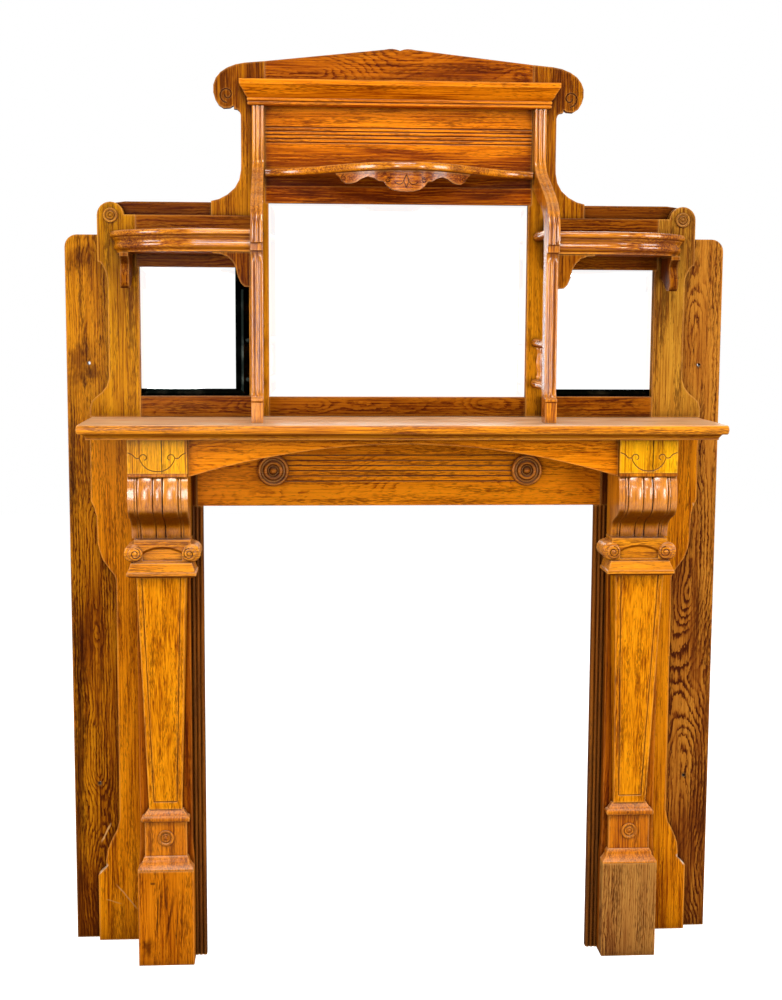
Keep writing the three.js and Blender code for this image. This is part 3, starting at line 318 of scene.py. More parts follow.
@dataclass(frozen=True)
class OakFinish:
    """Varnished oak with its growth rings, pores, patches, dirty joints and wear, with painted shade in hollows,
    corners and undersides and painted light on tops.

    Attributes:
        tone: The middle tone of the wood.
        grain: The way the grain runs.
        ring: Width of one growth ring on the face, in metres.
        ring_depth: How strongly the rings show.
        heart: Distance of the tree's heart behind the face, in metres.
        roam: How far that distance roams along the board, which draws the arches.
        centre: Where the arches are centred across the board, in metres.
        streak: How strongly the long streaks show.
        cloud: How strongly the soft patches show.
        pores: How strongly the short dark pores show.
        lift: Shift of the whole board towards paler or darker wood.
        height_grade: How much paler the board gets for each metre of height.
        dirt_and_shade: How dark the joints and hollows are: dirty joints, and painted shade in the hollows.
        corner_shade: How dark the wood is painted in wide corners, a painted shade.
        underside_shade: How dark the surfaces that look down are painted, a painted shade.
        top_light: How pale the surfaces that look up are painted, a painted light.
        wear: How pale the rubbed edges are.
        gloss: Weight of the varnish coat, which is lost where the surface looks down.
        body: How strongly the varnish bends light.
        rough: Roughness of the varnish.
        seed: Which part of the tree the board is cut from.
        marks: Scratches and stains.
    """

    tone: Tone = Tone.AMBER
    grain: Grain = Grain.UP
    ring: float = 0.007
    ring_depth: float = 0.30
    heart: float = 0.05
    roam: float = 0.10
    centre: float = 0.0
    streak: float = 1.6
    cloud: float = 0.7
    pores: float = 0.7
    lift: float = 0.0
    height_grade: float = 0.0
    dirt_and_shade: float = 0.85
    corner_shade: float = 0.6
    underside_shade: float = 0.75
    top_light: float = 0.15
    wear: float = 0.25
    gloss: float = 0.05
    body: float = 1.5
    rough: float = 0.25
    seed: int = 0
    marks: tuple[Mark, ...] = ()

    def tones(self) -> list[tuple[float, ...]]:
        """The pore, dark, middle and pale tones of the wood as linear colours."""
        red, green, blue, _ = tone(self.tone.value)
        return [
            (red * 0.15, green * 0.08, blue * 0.1, 1.0),
            (red * 0.48, green * 0.34, blue * 0.3, 1.0),
            (red, green, blue, 1.0),
            (min(red * 1.30, 1.0), green * 1.44 + 0.006, blue * 1.5 + 0.002, 1.0),
        ]

    def make(self, name: str) -> bpy.types.Material:
        """Builds the material.

        Args:
            name: The material's name.

        Returns:
            The material.
        """
        graph = Graph(name)
        place_of = graph.add("ShaderNodeTexCoord").outputs["Object"]
        board = self.board_coordinates(graph, place_of)
        tones = self.tones()
        level = self.figure(graph, board, place_of)
        colour = graph.ramp(level, list(zip((0.05, 0.34, 0.62, 0.95), tones)))
        dashes = graph.noise(board, (60.0, 640.0, 640.0), 2.5)
        crowds = graph.math("MULTIPLY", graph.noise(board, (5.0, 60.0, 60.0), 3.0), 0.8)
        pores = graph.spread(graph.math("ADD", dashes, crowds), 0.92, 1.10, 0.0, self.pores)
        colour = graph.mix(pores, colour, tones[0])
        for mark in self.marks:
            colour = self.marked(graph, place_of, colour, mark)
        colour = self.aged(graph, place_of, colour, tones)
        graph.feed(graph.shader.inputs["Base Color"], colour)
        graph.shader.inputs["Roughness"].default_value = 0.5
        graph.shader.inputs["Specular IOR Level"].default_value = 0.02
        bump = graph.add("ShaderNodeBump")
        bump.inputs["Strength"].default_value = 0.35
        bump.inputs["Distance"].default_value = 0.0005
        graph.feed(bump.inputs["Height"], graph.math("SUBTRACT", level, pores))
        graph.feed(graph.shader.inputs["Normal"], bump.outputs[0])
        facing = graph.add("ShaderNodeSeparateXYZ")
        graph.feed(facing.inputs[0], graph.add("ShaderNodeNewGeometry").outputs["Normal"])
        graph.feed(graph.shader.inputs["Coat Weight"], graph.spread(facing.outputs["Z"], -0.7, -0.2, 0.0, self.gloss))
        graph.shader.inputs["Coat IOR"].default_value = self.body
        graph.shader.inputs["Coat Roughness"].default_value = self.rough
        return graph.material

    def board_coordinates(self, graph: Graph, place_of: bpy.types.NodeSocket) -> bpy.types.NodeSocket:
        """Coordinates along, across and through the board, moved to its own part of the tree."""
        split = graph.add("ShaderNodeSeparateXYZ")
        graph.feed(split.inputs[0], place_of)
        join = graph.add("ShaderNodeCombineXYZ")
        shifts = (self.seed * 1.37 % 7.0, -self.centre, self.seed * 0.317 % 1.0)
        for socket, axis, shift in zip(join.inputs, self.grain.value, shifts):
            graph.feed(socket, graph.math("ADD", split.outputs[axis], shift))
        return join.outputs[0]

    def figure(self, graph: Graph, board: bpy.types.NodeSocket, place_of: bpy.types.NodeSocket) -> bpy.types.NodeSocket:
        """Growth rings cut by the board's face, with long streaks and soft patches.

        Args:
            graph: The material under construction.
            board: Coordinates along, across and through the board.
            place_of: Coordinates in the frame.

        Returns:
            The socket that holds the tone of the wood, from 0 dark to 1 pale.
        """
        split = graph.add("ShaderNodeSeparateXYZ")
        graph.feed(split.inputs[0], board)
        wander = graph.math("SUBTRACT", graph.noise(board, (2.6, 3.0, 3.0), 2.0), 0.5)
        ripple = graph.math("SUBTRACT", graph.noise(board, (16.0, 55.0, 55.0), 2.0), 0.5)
        side = graph.math("ADD", split.outputs[1], graph.math("MULTIPLY", wander, 0.04))
        depth = graph.math("ADD", graph.math("MULTIPLY", wander, self.roam * 2), self.heart)
        square = graph.math("ADD", graph.math("MULTIPLY", side, side), graph.math("MULTIPLY", depth, depth))
        reach = graph.math("ADD", graph.math("SQRT", square), graph.math("MULTIPLY", ripple, 0.010))
        jag = graph.math("SUBTRACT", graph.noise(board, (70.0, 260.0, 260.0), 2.0), 0.5)
        reach = graph.math("ADD", reach, graph.math("MULTIPLY", jag, self.ring * 0.9))
        phase = graph.math("FRACT", graph.math("DIVIDE", reach, self.ring))
        rings = graph.math("MULTIPLY", graph.spread(phase, 0.0, 0.5), graph.spread(phase, 0.86, 1.0, 1.0, 0.0))
        bold = graph.spread(graph.noise(board, (4.0, 30.0, 30.0), 2.0), 0.36, 0.62, 0.15, 1.0)
        rings = graph.math("ADD", graph.math("MULTIPLY", graph.math("SUBTRACT", rings, 0.7), bold), 0.7)
        streaks = graph.math("SUBTRACT", graph.noise(board, (8.0, 300.0, 300.0), 5.0), 0.5)
        bands = graph.math("SUBTRACT", graph.noise(board, (1.4, 26.0, 26.0), 2.0), 0.5)
        patches = graph.math("SUBTRACT", graph.noise(board, (4.0, 12.0, 12.0), 4.0), 0.5)
        level = graph.math("ADD", 0.62 + self.lift - self.ring_depth * 0.62, graph.math("MULTIPLY", rings, self.ring_depth))
        level = graph.math("ADD", level, graph.math("MULTIPLY", streaks, self.streak))
        level = graph.math("ADD", level, graph.math("MULTIPLY", bands, self.streak * 0.5))
        level = graph.math("ADD", level, graph.math("MULTIPLY", patches, self.cloud))
        height = graph.add("ShaderNodeSeparateXYZ")
        graph.feed(height.inputs[0], place_of)
        rise = graph.math("MULTIPLY", graph.math("SUBTRACT", height.outputs["Z"], 1.0), self.height_grade)
        return graph.math("ADD", level, rise)

    def aged(
        self, graph: Graph, place_of: bpy.types.NodeSocket, colour: bpy.types.NodeSocket, tones: list[tuple[float, ...]],
    ) -> bpy.types.NodeSocket:
        """Darkens dirty joints, paints shade in hollows, wide corners and undersides, paints light on tops, and pales
        rubbed edges.

        Args:
            graph: The material under construction.
            place_of: Coordinates in the frame.
            colour: The clean wood.
            tones: The tones of the wood in linear colours.

        Returns:
            The socket that holds the aged colour.
        """
        # Dirty joints and painted shade: darker where the surface is closed in within 18 mm.
        hollow = graph.add("ShaderNodeAmbientOcclusion", samples=4)
        hollow.inputs["Distance"].default_value = 0.018
        shade = graph.spread(hollow.outputs["AO"], 0.30, 0.92, self.dirt_and_shade, 0.0)
        # Painted shade: darker in wide corners, within 13 cm.
        corner = graph.add("ShaderNodeAmbientOcclusion", samples=4)
        corner.inputs["Distance"].default_value = 0.13
        colour = graph.mix(graph.spread(corner.outputs["AO"], 0.25, 0.85, self.corner_shade, 0.0), colour, tones[0])
        colour = graph.mix(shade, colour, tuple(c * 0.3 for c in tones[0][:3]) + (1.0,))
        facing = graph.add("ShaderNodeSeparateXYZ")
        graph.feed(facing.inputs[0], graph.add("ShaderNodeNewGeometry").outputs["Normal"])
        # Painted shade: surfaces that look down are darkened.
        colour = graph.mix(graph.spread(facing.outputs["Z"], -0.8, -0.1, self.underside_shade, 0.0), colour, tones[0])
        # Painted light: surfaces that look up are painted pale, in patches.
        upward = graph.spread(facing.outputs["Z"], 0.25, 0.95, 0.0, self.top_light)
        top_light_patches = graph.spread(graph.noise(place_of, (9.0, 60.0, 60.0), 3.0), 0.3, 0.7, 0.5, 1.3)
        colour = graph.mix(graph.math("MULTIPLY", upward, top_light_patches, clamp=True), colour, tone(0xFFD2A4))
        edge = graph.add("ShaderNodeAmbientOcclusion", samples=4, inside=True, only_local=True)
        edge.inputs["Distance"].default_value = 0.005
        rubbed = graph.spread(edge.outputs["AO"], 0.5, 0.92, self.wear, 0.0)
        return graph.mix(rubbed, colour, tone(0xE8A04C))

    @staticmethod
    def marked(graph: Graph, place_of: bpy.types.NodeSocket, colour: bpy.types.NodeSocket, mark: Mark) -> bpy.types.NodeSocket:
        """Lays one scratch, stain or painted highlight over the colour.

        Args:
            graph: The material under construction.
            place_of: Coordinates in the frame.
            colour: The colour so far.
            mark: The scratch or stain.

        Returns:
            The socket that holds the colour with the mark on it.
        """
        turn = graph.add("ShaderNodeMapping", vector_type="TEXTURE")
        graph.feed(turn.inputs["Vector"], place_of)
        turn.inputs["Location"].default_value = (mark.x * MM, 0.0, mark.z * MM)
        turn.inputs["Rotation"].default_value = (0.0, -math.radians(mark.angle), 0.0)
        split = graph.add("ShaderNodeSeparateXYZ")
        graph.feed(split.inputs[0], turn.outputs[0])
        cloud = graph.math("SUBTRACT", graph.noise(place_of, (90.0, 90.0, 60.0)), 0.5)
        ragged = graph.math("MULTIPLY", cloud, mark.width * MM * 1.6)
        across = graph.math("ABSOLUTE", graph.math("ADD", split.outputs["Z"], ragged))
        along = graph.math("ABSOLUTE", graph.math("ADD", split.outputs["X"], ragged))
        soft = 0.1 if mark.soaks else 0.5
        wide = graph.spread(across, mark.width * MM * soft, mark.width * MM, mark.strength, 0.0)
        long = graph.spread(along, mark.length * MM * soft, mark.length * MM, 1.0, 0.0)
        blend = "MULTIPLY" if mark.soaks else "MIX"
        return graph.mix(graph.math("MULTIPLY", wide, long), colour, tone(mark.colour), blend)


@dataclass(frozen=True)
class MirrorFinish:
    """Silvered glass with a painted white glow that only the camera sees, and painted dark reflections in strips where
    its bevel looks elsewhere.

    Attributes:
        colour: Its faint tint as three bytes.
        painted_glow: Brightness of the white glow painted on it.
        dark_reflection_from: Where the painted dark reflection down one side starts, sideways, in metres.
        dark_reflection_to: Where that strip ends.
        dark_reflection_below: Height under which the bottom strip is a painted dark reflection, in metres.
    """

    colour: int = 0xF8FAFA
    painted_glow: float = 0.95
    dark_reflection_from: float = 9.0
    dark_reflection_to: float = 10.0
    dark_reflection_below: float = -9.0

    def make(self, name: str) -> bpy.types.Material:
        """Builds the material.

        Args:
            name: The material's name.

        Returns:
            The material.
        """
        graph = Graph(name)
        place_of = graph.add("ShaderNodeTexCoord").outputs["Object"]
        split = graph.add("ShaderNodeSeparateXYZ")
        graph.feed(split.inputs[0], place_of)
        # Painted reflection: the bevel strips are painted greenish black, for the dark things they reflect.
        after = graph.math("GREATER_THAN", split.outputs["X"], self.dark_reflection_from)
        before = graph.math("LESS_THAN", split.outputs["X"], self.dark_reflection_to)
        strip = graph.math("MULTIPLY", after, before)
        dark = graph.math("MAXIMUM", strip, graph.math("LESS_THAN", split.outputs["Z"], self.dark_reflection_below))
        cloud = graph.noise(place_of, (30.0, 30.0, 30.0), 4.0)
        dark_reflection_tone = graph.mix(graph.spread(cloud, 0.5, 0.75), tone(0x0A0F0D), tone(0x2B302C))
        graph.feed(graph.shader.inputs["Base Color"], graph.mix(dark, tone(self.colour), dark_reflection_tone))
        graph.shader.inputs["Roughness"].default_value = 0.03
        graph.shader.inputs["Metallic"].default_value = 1.0
        # Painted light: the clear glass glows white, for the camera only.
        graph.shader.inputs["Emission Color"].default_value = tone(self.colour)
        clear = graph.math("MULTIPLY", graph.math("SUBTRACT", 1.0, dark), self.painted_glow)
        seen = graph.add("ShaderNodeLightPath").outputs["Is Camera Ray"]
        graph.feed(graph.shader.inputs["Emission Strength"], graph.math("MULTIPLY", clear, seen))
        return graph.material


class Workshop:
    """The maker's own moves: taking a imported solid, drawing, turning, sweeping and handing a piece over."""

    def __init__(self, frame: dict) -> None:
        """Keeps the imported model.
        """
        self.nodes = frame["nodes"]

    @staticmethod
    def only(piece: bpy.types.Object) -> None:
        """Selects one piece and nothing else."""
        bpy.ops.object.select_all(action="DESELECT")
        piece.select_set(True)
        bpy.context.view_layer.objects.active = piece

    def taken(self, node: str, soft: float = 1.0, corner: float = 35.0) -> bpy.types.Object:
        """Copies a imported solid, joins its faces and softens its corners.

        Args:
            node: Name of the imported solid.
            soft: Width of the softened corner, in millimetres.
            corner: Sharpest turn, in degrees, that stays as it is.

        Returns:
            The worked piece.
        """
        piece = bpy.data.objects.new(f"worked_{node}", self.nodes[node].data.copy())
        bpy.context.scene.collection.objects.link(piece)
        self.only(piece)
        bpy.ops.object.mode_set(mode="EDIT")
        bpy.ops.mesh.select_all(action="SELECT")
        bpy.ops.mesh.remove_doubles(threshold=0.00002)
        bpy.ops.mesh.dissolve_limited(angle_limit=math.radians(0.8))
        bpy.ops.object.mode_set(mode="OBJECT")
        if soft > 0:
            self.soften(piece, soft, corner)
        self.smooth(piece, corner)
        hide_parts(node)
        return piece

    def soften(self, piece: bpy.types.Object, width: float, corner: float) -> None:
        """Rounds the corners of a piece.

        Args:
            piece: The piece.
            width: Width of the rounding, in millimetres.
            corner: Sharpest turn, in degrees, that stays as it is.
        """
        self.only(piece)
        bpy.ops.object.modifier_add(type="BEVEL")
        bevel = piece.modifiers[-1]
        bevel.width = width * MM
        bevel.segments = 2
        bevel.limit_method = "ANGLE"
        bevel.angle_limit = math.radians(corner)
        bpy.ops.object.modifier_apply(modifier=bevel.name)

    def smooth(self, piece: bpy.types.Object, corner: float) -> None:
        """Shades gentle turns smooth and keeps flat faces flat.

        Args:
            piece: The piece.
            corner: Sharpest turn, in degrees, that is shaded smooth.
        """
        self.only(piece)
        bpy.ops.object.shade_smooth_by_angle(angle=math.radians(corner))
        bpy.ops.object.modifier_add(type="WEIGHTED_NORMAL")
        weigh = piece.modifiers[-1]
        weigh.keep_sharp = True
        bpy.ops.object.modifier_apply(modifier=weigh.name)

    def drawn(self, name: str, points: Sequence[Vector]) -> bpy.types.Object:
        """Draws a line of points and leaves it open in edit mode, all selected.

        Args:
            name: The piece's name.
            points: The line, in the frame.

        Returns:
            The new piece.
        """
        bpy.ops.object.select_all(action="DESELECT")
        bpy.ops.mesh.primitive_plane_add(size=0.001, location=points[0])
        piece = bpy.context.view_layer.objects.active
        piece.name = name
        piece.data.name = name
        bpy.ops.object.transform_apply(location=True, rotation=True, scale=True)
        bpy.ops.object.mode_set(mode="EDIT")
        bpy.ops.mesh.select_all(action="SELECT")
        bpy.ops.mesh.merge(type="CENTER")
        for before, after in zip(points, points[1:]):
            bpy.ops.mesh.extrude_region_move(TRANSFORM_OT_translate={"value": after - before})
        bpy.ops.mesh.select_all(action="SELECT")
        return piece

    def closed(self, piece: bpy.types.Object, corner: float = 40.0) -> bpy.types.Object:
        """Leaves edit mode with doubles merged and faces turned outwards.

        Args:
            piece: The piece being edited.
            corner: Sharpest turn, in degrees, that is shaded smooth.

        Returns:
            The same piece.
        """
        bpy.ops.mesh.select_all(action="SELECT")
        bpy.ops.mesh.remove_doubles(threshold=0.00001)
        bpy.ops.mesh.dissolve_degenerate(threshold=0.000005)
        bpy.ops.mesh.normals_make_consistent(inside=False)
        bpy.ops.object.mode_set(mode="OBJECT")
        self.smooth(piece, corner)
        return piece

    def turned(self, name: str, profile: Sequence[Pair], centre: Vector, steps: int = 56, upright: bool = False) -> bpy.types.Object:
        """Turns a profile on the lathe.

        Args:
            name: The piece's name.
            profile: Radius and rise of each point, in millimetres.
            centre: Where the axis meets the face, in the frame.
            steps: Number of sides.
            upright: Whether the axis stands up; otherwise it faces the viewer.

        Returns:
            The turned piece.
        """
        rise_way = Vector((0, 0, MM)) if upright else Vector((0, -MM, 0))
        points = [centre + Vector((radius * MM, 0, 0)) + rise_way * rise for radius, rise in profile]
        piece = self.drawn(name, points)
        axis = (0, 0, 1) if upright else (0, 1, 0)
        bpy.ops.mesh.spin(steps=steps, angle=2 * math.pi, center=centre, axis=axis)
        return self.closed(piece, 50.0)

    def swept(self, name: str, section: Sequence[Vector], path: Sequence[Vector], back: float) -> bpy.types.Object:
        """Moves a section along a path and closes the piece at a flat back.

        Args:
            name: The piece's name.
            section: The section at the start of the path.
            path: Points that the section's start follows.
            back: Depth of the flat back, in the frame.

        Returns:
            The closed piece.
        """
        piece = self.drawn(name, section)
        for before, after in zip(path, path[1:]):
            bpy.ops.mesh.extrude_region_move(TRANSFORM_OT_translate={"value": after - before})
        self.flat_back(back)
        return self.closed(piece)

    @staticmethod
    def flat_back(back: float) -> None:
        """Pulls the skin being edited back to a flat plane, which closes it."""
        bpy.ops.mesh.select_all(action="SELECT")
        bpy.ops.mesh.extrude_region_move(TRANSFORM_OT_translate={"value": (0, 0.01, 0)})
        bpy.ops.transform.resize(value=(1, 0, 1), center_override=(0, back, 0))

    def beaded(self, name: str, points: Sequence[Vector], radius: float) -> bpy.types.Object:
        """A thin round line that follows points.

        Args:
            name: The piece's name.
            points: The line, in the frame.
            radius: Radius of the line, in millimetres.

        Returns:
            The line as a mesh.
        """
        piece = self.drawn(name, points)
        bpy.ops.object.mode_set(mode="OBJECT")
        self.only(piece)
        bpy.ops.object.convert(target="CURVE")
        piece.data.bevel_depth = radius * MM
        piece.data.bevel_resolution = 2
        piece.data.use_fill_caps = True
        bpy.ops.object.convert(target="MESH")
        bpy.ops.object.shade_smooth()
        return piece

    @staticmethod
    def hand_over(piece: bpy.types.Object, material: bpy.types.Material, slot: str = "oak") -> None:
        """Gives a piece its material and fixes it to the model.

        Args:
            piece: The finished piece.
            material: Its material.
            slot: Its material slot in the record; not used.
        """
        piece.data.materials.clear()
        piece.data.materials.append(material)
        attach(piece, "root")
        LOG.info("%s: %d faces", piece.name, len(piece.data.polygons))

    def board(self, node: str, finish: OakFinish, soft: float = 1.0, corner: float = 35.0, slot: str = "oak") -> None:
        """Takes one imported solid, works it and hands it over.

        Args:
            node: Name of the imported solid.
            finish: Its finish.
            soft: Width of its softened corners, in millimetres.
            corner: Sharpest turn, in degrees, that is shaded smooth.
            slot: Its material slot in the record.
        """
        self.hand_over(self.taken(node, soft, corner), finish.make(f"oak_{node}"), slot)


@dataclass
class TallBoards:
    """The outer boards at the back and the shaped boards in front of them.

    Attributes:
        shop: The workshop.
        outer: Finish of the outer boards.
        shaped: Finish of the shaped boards.
        stains: Marks on the left outer board.
        holes: Torn rims of the screw holes on the right outer board.
        scars_and_glint: Scratches on the left shaped board, and a painted highlight where its outer edge steps in.
        right_scars_and_glint: Scratches on the right shaped board, and a painted highlight where its outer edge steps
            in.
    """

    shop: Workshop
    outer: OakFinish = OakFinish(
        tone=Tone.TAWNY, ring=0.007, ring_depth=0.46, heart=0.012, roam=0.10, streak=1.5, cloud=0.9, wear=0.4, height_grade=0.38,
        lift=-0.13, pores=0.8,
    )
    shaped: OakFinish = OakFinish(
        tone=Tone.GOLD, ring=0.006, ring_depth=0.2, heart=0.12, lift=0.03, cloud=0.8, wear=0.8, height_grade=0.05, pores=0.7,
    )
    stains: tuple[Mark, ...] = (
        Mark(-735, 1370, 70, 90, 44, 0x7A5430, 0.75, True),
        Mark(-706, 1350, 20, 34, 28, 0x6A4420, 0.75, True),
        Mark(-711.5, 1375, 0, 9, 9, 0x2A1404, 0.9, True),
        Mark(-703, 380, 0, 9, 9, 0x2A1404, 0.9, True),
        Mark(-728, 1612, 20, 44, 36, 0x7A5430, 0.7, True),
        # A pale diagonal line near the shaped board's edge.
        Mark(-690, 258, 64, 30, 2.6, 0xE0A860, 0.9),
        Mark(-752, 1150, 89, 260, 16, 0x5A3818, 0.7, True),
        Mark(-748, 500, 89, 520, 22, 0x5A3818, 0.75, True),
    )
    scars_and_glint: tuple[Mark, ...] = (
        # Painted highlight: the lit corner where the shaped board's outer edge steps in.
        Mark(-697, 176, 45, 19, 4.2, 0xF6DDB4, 1.0),
        Mark(-640, 106, -52, 46, 2.2, 0xD89C54, 0.8),
        Mark(-672, 96, -18, 22, 2.0, 0xD09448, 0.7),
    )
    holes: tuple[Mark, ...] = (
        Mark(711.5, 1375, 0, 12, 12, 0x2A1404, 0.9, True),
        Mark(703, 380, 0, 12, 12, 0x2A1404, 0.9, True),
    )
    right_scars_and_glint: tuple[Mark, ...] = (
        # Painted highlight: the lit corner where the shaped board's outer edge steps in.
        Mark(697, 176, -50, 19, 4.4, 0xF4E2C8, 1.0),
        Mark(706, 1040, -60, 14, 3.0, 0xD8A468, 0.8),
    )

    def build(self) -> None:
        """Works and hands over the four boards."""
        # The right outer board's greyer tone is partly its own colour and partly painted sheen.
        right = replace(self.outer, tone=Tone.HAZEL, ring=0.0085, ring_depth=0.8, height_grade=0.27, roam=0.12, centre=0.7, lift=-0.07, seed=5, marks=self.holes)
        self.shop.board("back_board_right", right, 1.6)
        left = replace(self.outer, ring_depth=0.6, ring=0.0062, heart=0.006, centre=-0.705, seed=2, marks=self.stains)
        self.shop.board("back_board_left", left, 1.6)
        self.shop.board("pier_board_right", replace(self.shaped, seed=8, marks=self.right_scars_and_glint), 1.6)
        self.shop.board("pier_board_left", replace(self.shaped, seed=11, marks=self.scars_and_glint), 1.6)


@dataclass
class Pilasters:
    """The pilasters from plinth to capital.

    Attributes:
        shop: The workshop.
        finish: Their finish.
        middle: Distance of a pilaster from the middle.
        volute_height: Height of the volutes.
        volute_face: Depth of the face that the volutes stand on.
        volutes: Distance of the two volutes from the middle.
        volute: Turned profile of a volute.
        eye_height: Height of the bullseye on the die.
        eye_face: Depth of the face of the die.
        eye: Turned profile of that bullseye.
        stains: Marks on the left plinth.
    """

    shop: Workshop
    finish: OakFinish = OakFinish(tone=Tone.GOLD, ring=0.006, ring_depth=0.16)
    middle: float = 536.0
    capital: float = 532.0
    volute_height: float = 965.0
    volute_face: float = 91.0
    volute_out: float = 64.0
    scroll_out: float = 59.0
    volute: tuple[Pair, ...] = ((0, -8), (20, -8), (20.6, -3), (20.2, 0), (18.6, 2.4), (15, 3.4), (0, 3.4))
    scroll: tuple[Pair, ...] = (
        (0, -3), (15.6, -3), (15.8, 2), (15.4, 5), (14, 6.6), (11, 7.2), (8.4, 7), (6, 6.8), (3.6, 7.6), (1.6, 8.2), (0, 8.3),
    )
    eye_height: float = 297.0
    eye_face: float = 146.0
    eye: tuple[Pair, ...] = (
        (0, -3), (18.6, -3), (18.7, 2), (18.2, 3.6), (16.8, 4.3), (14.8, 4.3), (13.6, 3.4), (13, 1.4), (11.6, 1), (10.4, 1.4),
        (9.6, 3), (8.4, 3.8), (6.8, 3.4), (5.8, 2.2), (4.6, 2.4), (3.2, 4.2), (1.4, 5), (0, 5.1),
    )
    stains: tuple[Mark, ...] = (
        Mark(-548, 150, 86, 80, 5, 0x7A5020, 0.8, True),
        Mark(-528, 110, 80, 100, 6, 0x6A4018, 0.8, True),
        Mark(-500, 120, 88, 90, 4, 0x7A5020, 0.7, True),
        Mark(-578, 45, 80, 30, 16, 0x5A3418, 0.8, True),
        Mark(-566, 196, 0, 7, 4, 0x3B1D06, 0.7),
        Mark(-556, 120, 87, 60, 1.8, 0x3B1D06, 0.8),
        Mark(-536, 160, 91, 36, 1.5, 0x3B1D06, 0.8),
        Mark(-512, 90, 86, 54, 1.5, 0x3B1D06, 0.7),
    )

    def build(self) -> None:
        """Works and hands over every piece of both pilasters."""
        for i, (side, way) in enumerate(SIDES):
            self.boards(side, i)
            self.turnings(side, way, i)

    def boards(self, side: str, i: int) -> None:
        """The sawn and moulded pieces of one pilaster.

        Args:
            side: Which side it stands on.
            i: Number of the side, which picks the wood.
        """
        plinth = replace(self.finish, tone=Tone.AMBER, ring_depth=0.3, lift=0.06, seed=21 + i, marks=self.stains, wear=0.5)
        if side == "right":
            # The right plinth's greyer tone is partly its own colour and partly painted sheen.
            plinth = replace(plinth, tone=Tone.DRAB, ring=0.005, ring_depth=0.5, roam=0.01, centre=0.4, marks=())
        self.shop.board(f"plinth_block_{side}", plinth, 1.6)
        backing = replace(self.finish, tone=Tone.RUSSET, seed=31 + i)
        self.shop.board(f"pilaster_backing_{side}", backing)
        self.shop.board(f"pilaster_side_{side}", replace(backing, tone=Tone.RUSSET, seed=33 + i))
        die = replace(self.finish, tone=Tone.AMBER, lift=-0.04 + 0.06 * (i == 0), seed=35 + i, wear=0.6, top_light=0.3, gloss=0.3)
        self.shop.board(f"pedestal_die_{side}", die, 0.6)
        self.shop.board(f"pilaster_shaft_{side}", replace(self.finish, seed=37 + i, wear=0.5, lift=0.02 - 0.07 * (i == 0)), 0.8)
        capital = replace(self.finish, grain=Grain.ACROSS, seed=39 + i, gloss=0.5, lift=0.04, wear=0.5, top_light=0.15)
        self.shop.board(f"scroll_capital_{side}", capital, 0.5)

    def turnings(self, side: str, way: int, i: int) -> None:
        """The turned volutes and the bullseye of one pilaster.

        Args:
            side: Which side it stands on.
            way: 1 on the right and -1 on the left.
            i: Number of the side, which picks the wood.
        """
        finish = replace(self.finish, grain=Grain.ACROSS, seed=41 + i, wear=0.45, gloss=0.8, lift=0.02)
        rolled = finish.make(f"oak_volutes_{side}")
        # The dark tone of the spiral lines paints the dirty, shaded hollow of the carved groove.
        incised = replace(finish, tone=Tone.SOOT, gloss=0.0, wear=0.0, top_light=0.0).make(f"oak_volute_lines_{side}")
        for number, hand in enumerate((-1, 1), 1):
            outer = place(way * self.capital + hand * self.volute_out, self.volute_face, self.volute_height)
            inner = place(way * self.capital + hand * self.scroll_out, self.volute_face, self.volute_height - 1)
            self.shop.hand_over(self.shop.turned(f"volute_{side}_{number}", self.volute, outer), rolled)
            self.shop.hand_over(self.shop.turned(f"volute_scroll_{side}_{number}", self.scroll, inner), rolled)
            line = self.shop.beaded(f"volute_line_{side}_{number}", self.coil(inner, hand), 0.8)
            self.shop.hand_over(line, incised)
        centre = place(way * self.middle, self.eye_face, self.eye_height)
        eye = self.shop.turned(f"die_bullseye_{side}", self.eye, centre)
        self.shop.hand_over(eye, replace(self.finish, tone=Tone.AMBER, wear=0.4).make(f"oak_die_bullseye_{side}"))

    @staticmethod
    def coil(centre: Vector, hand: int) -> list[Vector]:
        """The carved spiral on a volute.

        Args:
            centre: Middle of the volute.
            hand: 1 where it winds clockwise and -1 where it winds the other way.

        Returns:
            The points of the spiral.
        """
        points = []
        for step in range(31):
            share = step / 30
            angle = 2 * math.pi * 1.45 * share
            reach = 12.6 - 9.4 * share
            across, up = -hand * reach * math.sin(angle), reach * math.cos(angle)
            points.append(centre + Vector((across, -7.0, up)) * MM)
        return points


